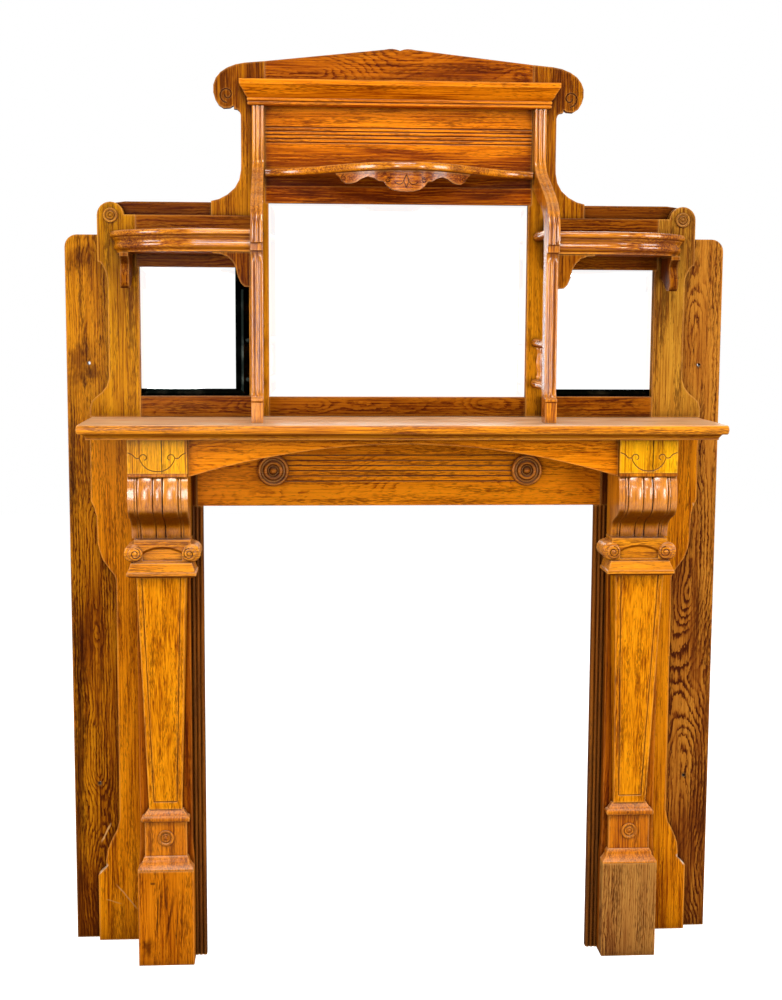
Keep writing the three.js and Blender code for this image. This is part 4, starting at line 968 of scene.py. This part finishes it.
@dataclass
class Consoles:
    """The reeded consoles and the frieze blocks over them.

    Attributes:
        shop: The workshop.
        finish: Their finish.
        middle: Distance of a console from the middle.
        half: Half its width.
        back: Depth of its back.
        side_view: Depth and height of its front, from the foot up.
        fillet: Depth, foot and top of the flat strip over it.
    """

    shop: Workshop
    # Painted shade: the strong underside shade darkens the hollow under each console's roll.
    finish: OakFinish = OakFinish(
        tone=Tone.GOLD, ring=0.007, ring_depth=0.15, streak=0.9, pores=0.3, dirt_and_shade=0.95, wear=0.35, gloss=1.0, body=2.0,
        rough=0.23, underside_shade=0.85, corner_shade=0.2,
    )
    middle: float = 536.0
    half: float = 64.5
    back: float = 161.7
    side_view: tuple[Pair, ...] = (
        (117, 994.5), (113, 1014), (103, 1029), (80, 1041), (54, 1050), (39, 1061), (33, 1075), (31, 1092), (32.5, 1112),
        (37, 1128), (42, 1138.5),
    )
    fillet: Point = (34.0, 1139.0, 1146.2)

    def section(self) -> list[Pair]:
        """Distance across and depth of the reeds on the front."""
        centre = bulge(-9.8, 9.8, 2.6, 8)
        lobe = bulge(11.4, 43.2, 4.6, 14)
        bead = bulge(45, 49.4, 1.0, 4)
        right = [(10.6, -1.6), *lobe, (44.1, -1.6), *bead, (50.2, -1.6), (51, 0), (64.5, 0)]
        left = [(-x, depth) for x, depth in reversed(right)]
        return [(x, -depth) for x, depth in (*left, *centre, *right)]

    def build(self) -> None:
        """Works and hands over both consoles and both blocks."""
        for i, (side, way) in enumerate(SIDES):
            material = replace(self.finish, seed=51 + i, marks=self.crack(way)).make(f"oak_console_{side}")
            side_view = smooth_path(self.side_view, 4)
            start_y, start_z = side_view[0]
            section = [place(way * self.middle + x, start_y + sunk, start_z) for x, sunk in self.section()]
            path = [place(0, y, z) for y, z in side_view]
            console = self.shop.swept(f"reeded_console_{side}", section, path, place(0, self.back, 0).y)
            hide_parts(f"console_{side}")
            self.shop.hand_over(console, material)
            dull = replace(self.finish, gloss=0.1, lift=-0.25, wear=0.1, top_light=0.0, seed=55 + i)
            self.strip(side, way, dull.make(f"oak_console_strip_{side}"))
            block = replace(
                self.finish, tone=Tone.HONEY, gloss=0.1, body=1.5, streak=1.6, pores=0.5, seed=53 + i, marks=self.crack(way),
            )
            self.shop.board(f"frieze_block_{side}", block, 0.5)

    def strip(self, side: str, way: int, material: bpy.types.Material) -> None:
        """The flat strip between a console and its block.

        Args:
            side: Which side it is on.
            way: 1 on the right and -1 on the left.
            material: Its material.
        """
        face, low, high = self.fillet
        middle = place(way * self.middle, (face + self.back) / 2, (low + high) / 2)
        bpy.ops.object.select_all(action="DESELECT")
        bpy.ops.mesh.primitive_cube_add(size=1, location=middle)
        piece = bpy.context.view_layer.objects.active
        piece.name = f"console_strip_{side}"
        piece.scale = Vector((2 * self.half, self.back - face, high - low)) * MM
        bpy.ops.object.transform_apply(location=True, rotation=True, scale=True)
        self.shop.soften(piece, 1.0, 35.0)
        self.shop.smooth(piece, 35.0)
        self.shop.hand_over(piece, material)

    def crack(self, way: int) -> tuple[Mark, ...]:
        """The opened glue line that runs down a block and its console."""
        return (Mark(way * self.middle + 9.6, 1120, 90, 160, 1.6, 0x2A1202, 0.95),)


@dataclass
class OpeningSurround:
    """The boards round the fire opening: linings, frieze panel, roundels and arched board.

    Attributes:
        shop: The workshop.
        dark: Finish of the linings.
        warm: Finish of the panel and arched board.
        roundel_x: Distance of a roundel from the middle.
        roundel_z: Its height.
        face: Depth of the panel's face.
        roundel: Its turned profile.
    """

    shop: Workshop
    dark: OakFinish = OakFinish(tone=Tone.UMBER, ring_depth=0.2, wear=0.5, dirt_and_shade=0.6, lift=-0.1)
    warm: OakFinish = OakFinish(tone=Tone.AMBER, grain=Grain.ACROSS, ring=0.007, ring_depth=0.25, centre=1.1)
    roundel_x: float = 288.3
    roundel_z: float = 1138.5
    face: float = 186.0
    roundel: tuple[Pair, ...] = (
        (0, 0.3), (35, 0.3), (35.4, 3), (34.8, 7), (33.4, 9.8), (31.4, 10.8), (29.4, 10), (28.2, 7.6), (27.4, 5), (25.6, 4.2),
        (23.4, 4.4), (22.2, 6), (21, 9.4), (19.2, 11.4), (17, 11.8), (15, 10.8), (13.6, 8), (12.6, 5), (11, 4.2), (9.4, 4.8),
        (8, 8), (6, 12), (3.4, 13.8), (0, 14.4),
    )

    def build(self) -> None:
        """Works and hands over the boards and the two roundels."""
        self.shop.board("frieze_panel", replace(self.warm, tone=Tone.FLAME, seed=61, lift=0.1, ring_depth=0.4), 0.4)
        # Painted shade: the strong corner shade darkens the board's ends beside the frieze blocks.
        arched = replace(self.warm, ring_depth=0.55, heart=0.02, centre=1.19, tone=Tone.FLAME, seed=63, wear=0.5, corner_shade=0.8)
        self.shop.board("arched_board", arched)
        for i, (side, way) in enumerate(SIDES):
            self.shop.board(f"jamb_moulding_{side}", replace(self.dark, seed=65 + i), 0.5, slot="dark_oak")
            centre = place(way * self.roundel_x, self.face, self.roundel_z)
            piece = self.shop.turned(f"turned_roundel_{side}", self.roundel, centre, 72)
            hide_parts(f"roundel_{side}")
            finish = replace(self.warm, ring_depth=0.16, seed=67 + i, dirt_and_shade=1.0, wear=0.5, gloss=0.6)
            self.shop.hand_over(piece, finish.make(f"oak_roundel_{side}"))


@dataclass
class ShelfAndCornice:
    """The moulded boards that run across: mantel shelf, cornice and their neighbours.

    Attributes:
        shop: The workshop.
        finish: Their finish.
    """

    shop: Workshop
    finish: OakFinish = OakFinish(tone=Tone.GOLD, grain=Grain.ACROSS, ring_depth=0.2)

    def build(self) -> None:
        """Works and hands over the boards."""
        # Painted light: the shelf's top is painted pale, for the sheen of the room on it.
        shelf = replace(self.finish, seed=71, wear=0.5, top_light=0.75, lift=0.05, gloss=0.5, rough=0.3)
        self.shop.board("mantel_shelf", shelf, 0.8, 40.0)
        cornice = replace(self.finish, seed=73, tone=Tone.FLAME, lift=-0.02, wear=0.4, underside_shade=0.3, dirt_and_shade=0.6)
        self.shop.board("cornice", cornice, 0.4, 40.0)
        # Painted shade: the steep height grade darkens the panel towards the bottom, and the strong corner shade
        # darkens its ends beside the posts.
        panel = replace(self.finish, tone=Tone.FLAME, seed=75, ring_depth=0.3, height_grade=1.9, lift=-1.76, corner_shade=0.85)
        self.shop.board("upper_panel", panel, 0.4)
        rail = replace(self.finish, tone=Tone.BROWN, centre=1.28, heart=0.01, ring_depth=0.5, seed=77, lift=-0.06)
        self.shop.board("centre_bottom_rail", rail)
        crest = replace(self.finish, tone=Tone.RUSSET, centre=2.03, heart=0.02, ring_depth=0.4, seed=79, lift=-0.1)
        self.shop.board("crest_board", crest)


@dataclass
class WingFrames:
    """The wings of the overmantel: stiles, rails and the boards behind.

    Attributes:
        shop: The workshop.
        upright: Finish of the stiles.
        level: Finish of the rails.
        ear: Distance of an ear's middle from the middle of the mantel, and its height.
        face: Depth of the stile's face.
        eye: Turned profile of the bullseye on the ear.
        spiral: Middle, height and radius of the carved spiral on a crest end.
        crest_face: Depth of the crest's face.
    """

    shop: Workshop
    upright: OakFinish = OakFinish(tone=Tone.OLIVE, ring=0.006, ring_depth=0.16, wear=0.5, lift=-0.05)
    level: OakFinish = OakFinish(tone=Tone.BROWN, grain=Grain.ACROSS, ring_depth=0.4, heart=0.02, centre=1.65, lift=-0.1)
    ear: Pair = (652.3, 1708.0)
    face: float = 258.0
    eye: tuple[Pair, ...] = (
        (0, -3), (16.6, -3), (16.7, 2), (16.2, 3.6), (15, 4.4), (13.4, 4.3), (12.4, 3.2), (11.8, 1.4), (10.6, 1), (9.6, 1.6),
        (8.8, 3.2), (7.4, 3.8), (6, 3.2), (5.2, 2), (4, 2.6), (2.6, 4.4), (1.2, 5), (0, 5.1),
    )
    spiral: Point = (390.5, 1980.0, 18.0)
    crest_face: float = 282.2

    def scroll(self, side: str, way: int, material: bpy.types.Material) -> None:
        """The carved spiral on one scrolled end of the crest.

        Args:
            side: Which side it is on.
            way: 1 on the right and -1 on the left.
            material: Its material.
        """
        x, z, radius = self.spiral
        points = []
        for step in range(37):
            share = step / 36
            angle = math.pi * (2.5 * share - 0.5)
            reach = radius * (1 - 0.75 * share)
            points.append(place(way * (x + reach * math.cos(angle)), self.crest_face, z + reach * math.sin(angle)))
        self.shop.hand_over(self.shop.beaded(f"crest_scroll_line_{side}", points, 1.1), material)

    def build(self) -> None:
        """Works and hands over both wings."""
        # The dark tone of the scroll lines paints the dirty, shaded hollow of the carved groove.
        cut = replace(self.upright, tone=Tone.SOOT, gloss=0.0, wear=0.0, seed=97).make("oak_crest_lines")
        for i, (side, way) in enumerate(SIDES):
            stile = replace(self.upright, seed=81 + i)
            if side == "right":
                # The right stile's greyer tone is partly its own colour and partly painted sheen.
                stile = replace(stile, tone=Tone.SAND)
            self.shop.board(f"outer_stile_{side}", stile)
            self.shop.board(f"wing_top_rail_{side}", replace(self.level, seed=83 + i))
            self.shop.board(f"wing_bottom_rail_{side}", replace(self.level, centre=1.28, seed=85 + i))
            # Its dark tone is partly its own colour and partly painted shade, as it sits behind the frame.
            self.shop.board(f"wing_back_board_{side}", replace(self.level, tone=Tone.UMBER, seed=87 + i), slot="dark_oak")
            centre = place(way * self.ear[0], self.face, self.ear[1])
            eye = self.shop.turned(f"ear_bullseye_{side}", self.eye, centre)
            finish = replace(stile, seed=89 + i, dirt_and_shade=1.0, wear=0.4)
            self.shop.hand_over(eye, finish.make(f"oak_ear_bullseye_{side}"))
            tall = replace(self.upright, tone=Tone.TAWNY, seed=91 + i, height_grade=-0.85, lift=0.5)
            self.shop.board(f"crested_stile_{side}", tall, 0.8)
            self.scroll(side, way, cut)
        self.shop.board("centre_back_board", replace(self.upright, tone=Tone.UMBER, seed=95), slot="dark_oak")


@dataclass
class Mirrors:
    """The three bevelled mirrors.

    Attributes:
        shop: The workshop.
        finish: Their glass.
    """

    shop: Workshop
    finish: MirrorFinish = MirrorFinish()

    def build(self) -> None:
        """Hands over the three plates, with their bevels left crisp."""
        # The wing mirrors get painted dark reflections along their bevels.
        strips = {
            "centre_mirror": self.finish,
            "wing_mirror_right": replace(self.finish, dark_reflection_below=1.318),
            "wing_mirror_left": replace(self.finish, dark_reflection_below=1.318, dark_reflection_from=-0.3745, dark_reflection_to=-0.336),
        }
        for node, finish in strips.items():
            self.shop.hand_over(self.shop.taken(node, 0.0, 2.0), finish.make(f"glass_{node}"), "mirror")


@dataclass
class CentreShelf:
    """The serpentine shelf over the middle mirror, with its carved apron.

    Attributes:
        shop: The workshop.
        finish: Its finish.
        half: Half its length.
        ends: Depth of its front at the ends.
        crown: Depth of its front in the middle.
        swell: How full the middle is.
        back: Depth of its back.
        top: Height of its top.
        thick: Its thickness.
        apron_back: How far the apron stands behind the shelf's front.
        curls: Middle, height, radius and turning way of each carved curl on the apron's right half.
        leaf: Line of the carved leaf, to the right of the middle.
    """

    shop: Workshop
    finish: OakFinish = OakFinish(tone=Tone.GOLD, grain=Grain.ACROSS, ring_depth=0.2, gloss=1.0, body=1.7, rough=0.17, corner_shade=0.2, lift=-0.08)
    half: float = 304.6
    ends: float = 262.0
    crown: float = 50.0
    swell: float = 1.08
    back: float = 287.7
    top: float = 1815.0
    thick: float = 17.0
    apron_back: float = 12.0
    curls: tuple[tuple[float, float, float, int], ...] = ((132, 1786, 6.5, 1), (40, 1777, 6.0, -1))
    leaf: tuple[tuple[Pair, ...], ...] = (
        ((0, 1760), (2.6, 1768), (5.4, 1774), (3.4, 1781), (0, 1788)),
        ((7, 1772), (12, 1768), (18, 1768), (25, 1772)),
    )

    def front(self, x: float) -> float:
        """Depth of the shelf's front at a distance from the middle."""
        share = min(abs(x) / self.half, 1.0)
        return self.ends - (self.ends - self.crown) * (1 + math.cos(math.pi * share**self.swell)) / 2

    def build(self) -> None:
        """Works and hands over the shelf, its apron and the carved lines."""
        steps = 72
        path = []
        for i in range(steps + 1):
            x = -self.half + 2 * self.half * i / steps
            path.append(place(x, self.front(x), 0))
        radius = self.thick / 2
        section = []
        for i in range(9):
            angle = math.pi * i / 8
            inset = radius * 0.55 * (1 - math.sin(angle))
            section.append(path[0] + Vector((0, inset, self.top - radius + radius * math.cos(angle))) * MM)
        shelf = self.shop.swept("serpentine_shelf", section, path, place(0, self.back, 0).y)
        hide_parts("centre_shelf")
        self.shop.hand_over(shelf, replace(self.finish, seed=101).make("oak_serpentine_shelf"))
        apron = replace(self.finish, tone=Tone.AMBER, seed=103, wear=0.5, gloss=0.5, rough=0.2, corner_shade=0.2, lift=-0.14)
        self.shop.board("centre_apron", apron, 0.8, 30.0)
        self.carving()

    def carving(self) -> None:
        """The carved curls and leaf on the apron, as fine lines sunk in its face."""
        # The dark tone of the carved lines paints the dirty, shaded hollow of each groove.
        cut = replace(self.finish, tone=Tone.SOOT, gloss=0.0, wear=0.0, top_light=0.0, seed=105).make("oak_carved_lines")
        lines: list[list[Pair]] = []
        for x, z, radius, way in self.curls:
            lines.append([
                (x + way * radius * (1 - 0.7 * i / 18) * math.sin(7.6 * i / 18), z + radius * (1 - 0.7 * i / 18) * math.cos(7.6 * i / 18))
                for i in range(19)
            ])
        lines += [smooth_path(line, 4) for line in self.leaf]
        for number, line in enumerate(lines, 1):
            for side, way in SIDES:
                points = [place(way * x, self.front(x) + self.apron_back - 0.1, z) for x, z in line]
                self.shop.hand_over(self.shop.beaded(f"apron_line_{number}_{side}", points, 0.7), cut)


@dataclass
class WingShelves:
    """The rounded shelves of the wings, with their brackets.

    Attributes:
        shop: The workshop.
        finish: Their finish.
        inner: Distance of a shelf's inner end from the middle.
        straight: Where its straight front ends.
        outer: Distance of its outer end.
        face: Depth of its front.
        back: Depth of its back.
        edge: Step back and height of its moulded edge, from the top down.
    """

    shop: Workshop
    finish: OakFinish = OakFinish(
        tone=Tone.GOLD, grain=Grain.ACROSS, ring_depth=0.2, pores=0.4, gloss=1.0, body=1.65, rough=0.18, wear=0.35, lift=-0.12, corner_shade=0.3,
    )
    inner: float = 334.5
    straight: float = 440.0
    outer: float = 654.0
    face: float = 60.0
    back: float = 257.7
    edge: tuple[Pair, ...] = (
        (6, 1671), (2.4, 1669.8), (0.4, 1666.6), (0, 1663), (0.8, 1659.4), (3.2, 1656.8), (6, 1656), (6.4, 1653.6),
        (8.4, 1651.4), (10, 1648.4), (10.6, 1645), (10.2, 1642.4), (8.8, 1640.6), (8.4, 1637.4), (9.2, 1633.8), (11.4, 1630.4),
        (14, 1628), (15, 1625.4), (15.4, 1623),
    )

    def build(self) -> None:
        """Works and hands over both shelves and the four brackets."""
        bracket = OakFinish(tone=Tone.BROWN, ring_depth=0.25, lift=-0.2, wear=0.45)
        for i, (side, way) in enumerate(SIDES):
            shelf = self.moulded(side, way)
            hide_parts(f"wing_shelf_{side}")
            self.shop.hand_over(shelf, replace(self.finish, seed=111 + i).make(f"oak_wing_shelf_{side}"))
            self.shop.board(f"inner_bracket_{side}", replace(bracket, seed=113 + i), slot="dark_oak")
            self.shop.board(f"outer_bracket_{side}", replace(bracket, seed=115 + i), slot="dark_oak")

    def moulded(self, side: str, way: int) -> bpy.types.Object:
        """One shelf: a moulded edge run straight, then spun round the outer corner.

        Args:
            side: Which side it is on.
            way: 1 on the right and -1 on the left.

        Returns:
            The shelf.
        """
        section = [place(way * self.inner, self.face + inset, z) for inset, z in self.edge]
        piece = self.shop.drawn(f"moulded_wing_shelf_{side}", section)
        run = Vector((way * (self.straight - self.inner) * MM, 0, 0))
        bpy.ops.mesh.extrude_region_move(TRANSFORM_OT_translate={"value": run})
        centre = place(way * self.straight, self.back, 0)
        bpy.ops.mesh.spin(steps=36, angle=-way * math.pi / 2, center=centre, axis=(0, 0, 1))
        bpy.ops.object.mode_set(mode="OBJECT")
        limit = (self.straight + 0.5) * MM
        for vertex in piece.data.vertices:
            vertex.select = way * vertex.co.x > limit
        bpy.ops.object.mode_set(mode="EDIT")
        bpy.ops.mesh.select_mode(type="VERT")
        stretch = (self.outer - self.straight) / (self.back - self.face)
        bpy.ops.transform.resize(value=(stretch, 1, 1), center_override=centre)
        self.shop.flat_back(centre.y)
        return self.shop.closed(piece)


@dataclass
class PostsAndGalleries:
    """The slender front posts with the rails and spindles behind them.

    Attributes:
        shop: The workshop.
        finish: Their finish.
        rail: Distance of the rails from the middle.
        spindle_foot: Height where the spindles start.
        spindle_depths: Depth of each spindle.
        spindle: Turned profile of a spindle.
    """

    shop: Workshop
    finish: OakFinish = OakFinish(tone=Tone.GOLD, ring_depth=0.18, pores=0.4, wear=0.3, gloss=0.9, body=1.8, rough=0.18, lift=-0.08, corner_shade=0.3, dirt_and_shade=1.0)
    rail: float = 320.0
    spindle_foot: float = 1341.0
    spindle_depths: Pair = (170.0, 227.0)
    spindle: tuple[Pair, ...] = (
        (0, 0), (4.4, 0), (6, 4), (6.6, 8), (5.6, 12), (4.2, 15), (4.2, 18), (5, 24), (6.4, 32), (7, 39), (6.4, 46), (5, 54),
        (4.2, 60), (4.2, 63), (5.6, 66), (6.6, 70), (6, 74), (4.4, 78), (0, 78),
    )

    def build(self) -> None:
        """Works and hands over both posts, their rails and their spindles."""
        for i, (side, way) in enumerate(SIDES):
            self.shop.board(f"front_post_{side}", replace(self.finish, seed=121 + i), 0.5, 40.0)
            rails = replace(self.finish, grain=Grain.BACK, seed=123 + i)
            self.shop.board(f"post_rail_{side}", rails, 0.5, 40.0)
            self.shop.board(f"post_gallery_{side}", rails, 0.4, 50.0)
            material = replace(self.finish, seed=125 + i).make(f"oak_spindles_{side}")
            for number, depth in enumerate(self.spindle_depths, 1):
                foot = place(way * self.rail, depth, self.spindle_foot)
                spindle = self.shop.turned(f"turned_spindle_{side}_{number}", self.spindle, foot, 28, upright=True)
                self.shop.hand_over(spindle, material)


@dataclass
class Studio:
    """The plain floor, soft lights and camera.

    Attributes:
        floor_size: Width of the floor, in metres.
        camera_at: Where the camera stands.
        yaw: How far it looks to the right, in degrees.
        pitch: How far it looks down, in degrees.
        roll: How far it leans, in degrees.
        lens: Its focal length.
        lamps: Place, width, height and power of each soft light.
        aim: What the lights point at.
    """

    floor_size: float = 16.0
    camera_at: Point = (-0.2503, -3.5176, 1.4996)
    yaw: float = 3.7
    pitch: float = 6.9
    roll: float = -0.3
    lens: float = 56.506
    lamps: tuple[tuple[Point, float, float, float], ...] = (
        ((-0.9, -3.7, 1.3), 0.45, 1.2, 23.0),
        ((2.4, -3.3, 1.35), 0.5, 1.3, 28.0),
        ((0.25, -3.7, 2.37), 1.7, 0.2, 13.0),
        ((-3.1, -1.2, 1.9), 1.2, 1.7, 52.0),
        ((3.2, -1.1, 1.9), 1.2, 1.7, 46.0),
        ((0.0, -2.6, 4.2), 2.4, 1.2, 82.0),
        ((0.5, 3.4, 2.6), 2.6, 1.8, 60.0),
    )
    aim: Point = (0.0, 0.0, 1.1)
    ambient: float = 0.2
    sheen: float = 0.15

    def build(self) -> None:
        """Sets out the floor, light and camera."""
        self.lay_floor()
        self.hang_lights()
        self.light_room()
        self.stand_camera()
        bpy.context.scene.view_settings.view_transform = "Standard"

    def lay_floor(self) -> None:
        """A plain pale floor."""
        bpy.ops.object.select_all(action="DESELECT")
        bpy.ops.mesh.primitive_plane_add(size=self.floor_size, location=(0, 0, -0.0003))
        floor = bpy.context.view_layer.objects.active
        floor.name = "studio_floor"
        graph = Graph("pale_floor")
        seen = graph.add("ShaderNodeLightPath").outputs["Is Camera Ray"]
        graph.feed(graph.shader.inputs["Base Color"], graph.mix(seen, (0.45, 0.45, 0.45, 1), (0.95, 0.95, 0.95, 1)))
        graph.shader.inputs["Roughness"].default_value = 0.9
        graph.shader.inputs["Specular IOR Level"].default_value = 0.0
        graph.shader.inputs["Emission Color"].default_value = (1, 1, 1, 1)
        graph.feed(graph.shader.inputs["Emission Strength"], graph.math("MULTIPLY", seen, 0.80))
        floor.data.materials.append(graph.material)

    def hang_lights(self) -> None:
        """Soft lights in front, at the sides, overhead and behind."""
        for number, (spot, width, height, power) in enumerate(self.lamps, 1):
            bpy.ops.object.light_add(type="AREA", location=spot)
            lamp = bpy.context.view_layer.objects.active
            lamp.name = f"soft_light_{number}"
            lamp.data.shape = "RECTANGLE"
            lamp.data.size = width
            lamp.data.size_y = height
            lamp.data.energy = power
            lamp.rotation_euler = (Vector(self.aim) - Vector(spot)).to_track_quat("-Z", "Y").to_euler()

    def light_room(self) -> None:
        """A white room seen behind the object, which lights softly and gives a faint sheen; the white in the mirrors is
        their painted glow.
        """
        world = bpy.data.worlds.new("white_room")
        bpy.context.scene.world = world
        world.use_nodes = True
        nodes, links = world.node_tree.nodes, world.node_tree.links
        background = nodes["Background"]
        background.inputs["Color"].default_value = (1, 1, 1, 1)
        path = nodes.new("ShaderNodeLightPath")
        lit = nodes.new("ShaderNodeMapRange")
        links.new(path.outputs["Is Diffuse Ray"], lit.inputs["Value"])
        lit.inputs["To Min"].default_value = self.sheen
        lit.inputs["To Max"].default_value = self.ambient
        seen = nodes.new("ShaderNodeMath")
        seen.operation = "MAXIMUM"
        links.new(path.outputs["Is Camera Ray"], seen.inputs[0])
        links.new(lit.outputs["Result"], seen.inputs[1])
        links.new(seen.outputs[0], background.inputs["Strength"])

    def stand_camera(self) -> None:
        """Stands the camera where the photograph was taken from."""
        yaw, pitch, roll = (math.radians(angle) for angle in (self.yaw, self.pitch, self.roll))
        ahead = Vector((math.sin(yaw) * math.cos(pitch), math.cos(yaw) * math.cos(pitch), -math.sin(pitch)))
        level = Vector((math.cos(yaw), -math.sin(yaw), 0))
        down = ahead.cross(level)
        right = level * math.cos(roll) + down * math.sin(roll)
        below = down * math.cos(roll) - level * math.sin(roll)
        turn = Matrix((right, -below, -ahead)).transposed()
        bpy.ops.object.camera_add(location=self.camera_at, rotation=turn.to_euler())
        camera = bpy.context.view_layer.objects.active
        camera.name = "photograph_camera"
        camera.data.lens = self.lens
        camera.data.sensor_width = 36.0
        bpy.context.scene.camera = camera


def main(frame: dict) -> None:
    """Builds every sub-assembly in order.
    """
    logging.basicConfig(level=logging.INFO, format="%(name)s: %(message)s")
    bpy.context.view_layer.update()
    shop = Workshop(frame)
    assemblies = (
        TallBoards(shop), Pilasters(shop), Consoles(shop), OpeningSurround(shop), ShelfAndCornice(shop), WingFrames(shop),
        Mirrors(shop), CentreShelf(shop), WingShelves(shop), PostsAndGalleries(shop), Studio(),
    )
    for assembly in assemblies:
        LOG.info("building %s", type(assembly).__name__)
        assembly.build()


if __name__ == "__main__":
    main(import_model())
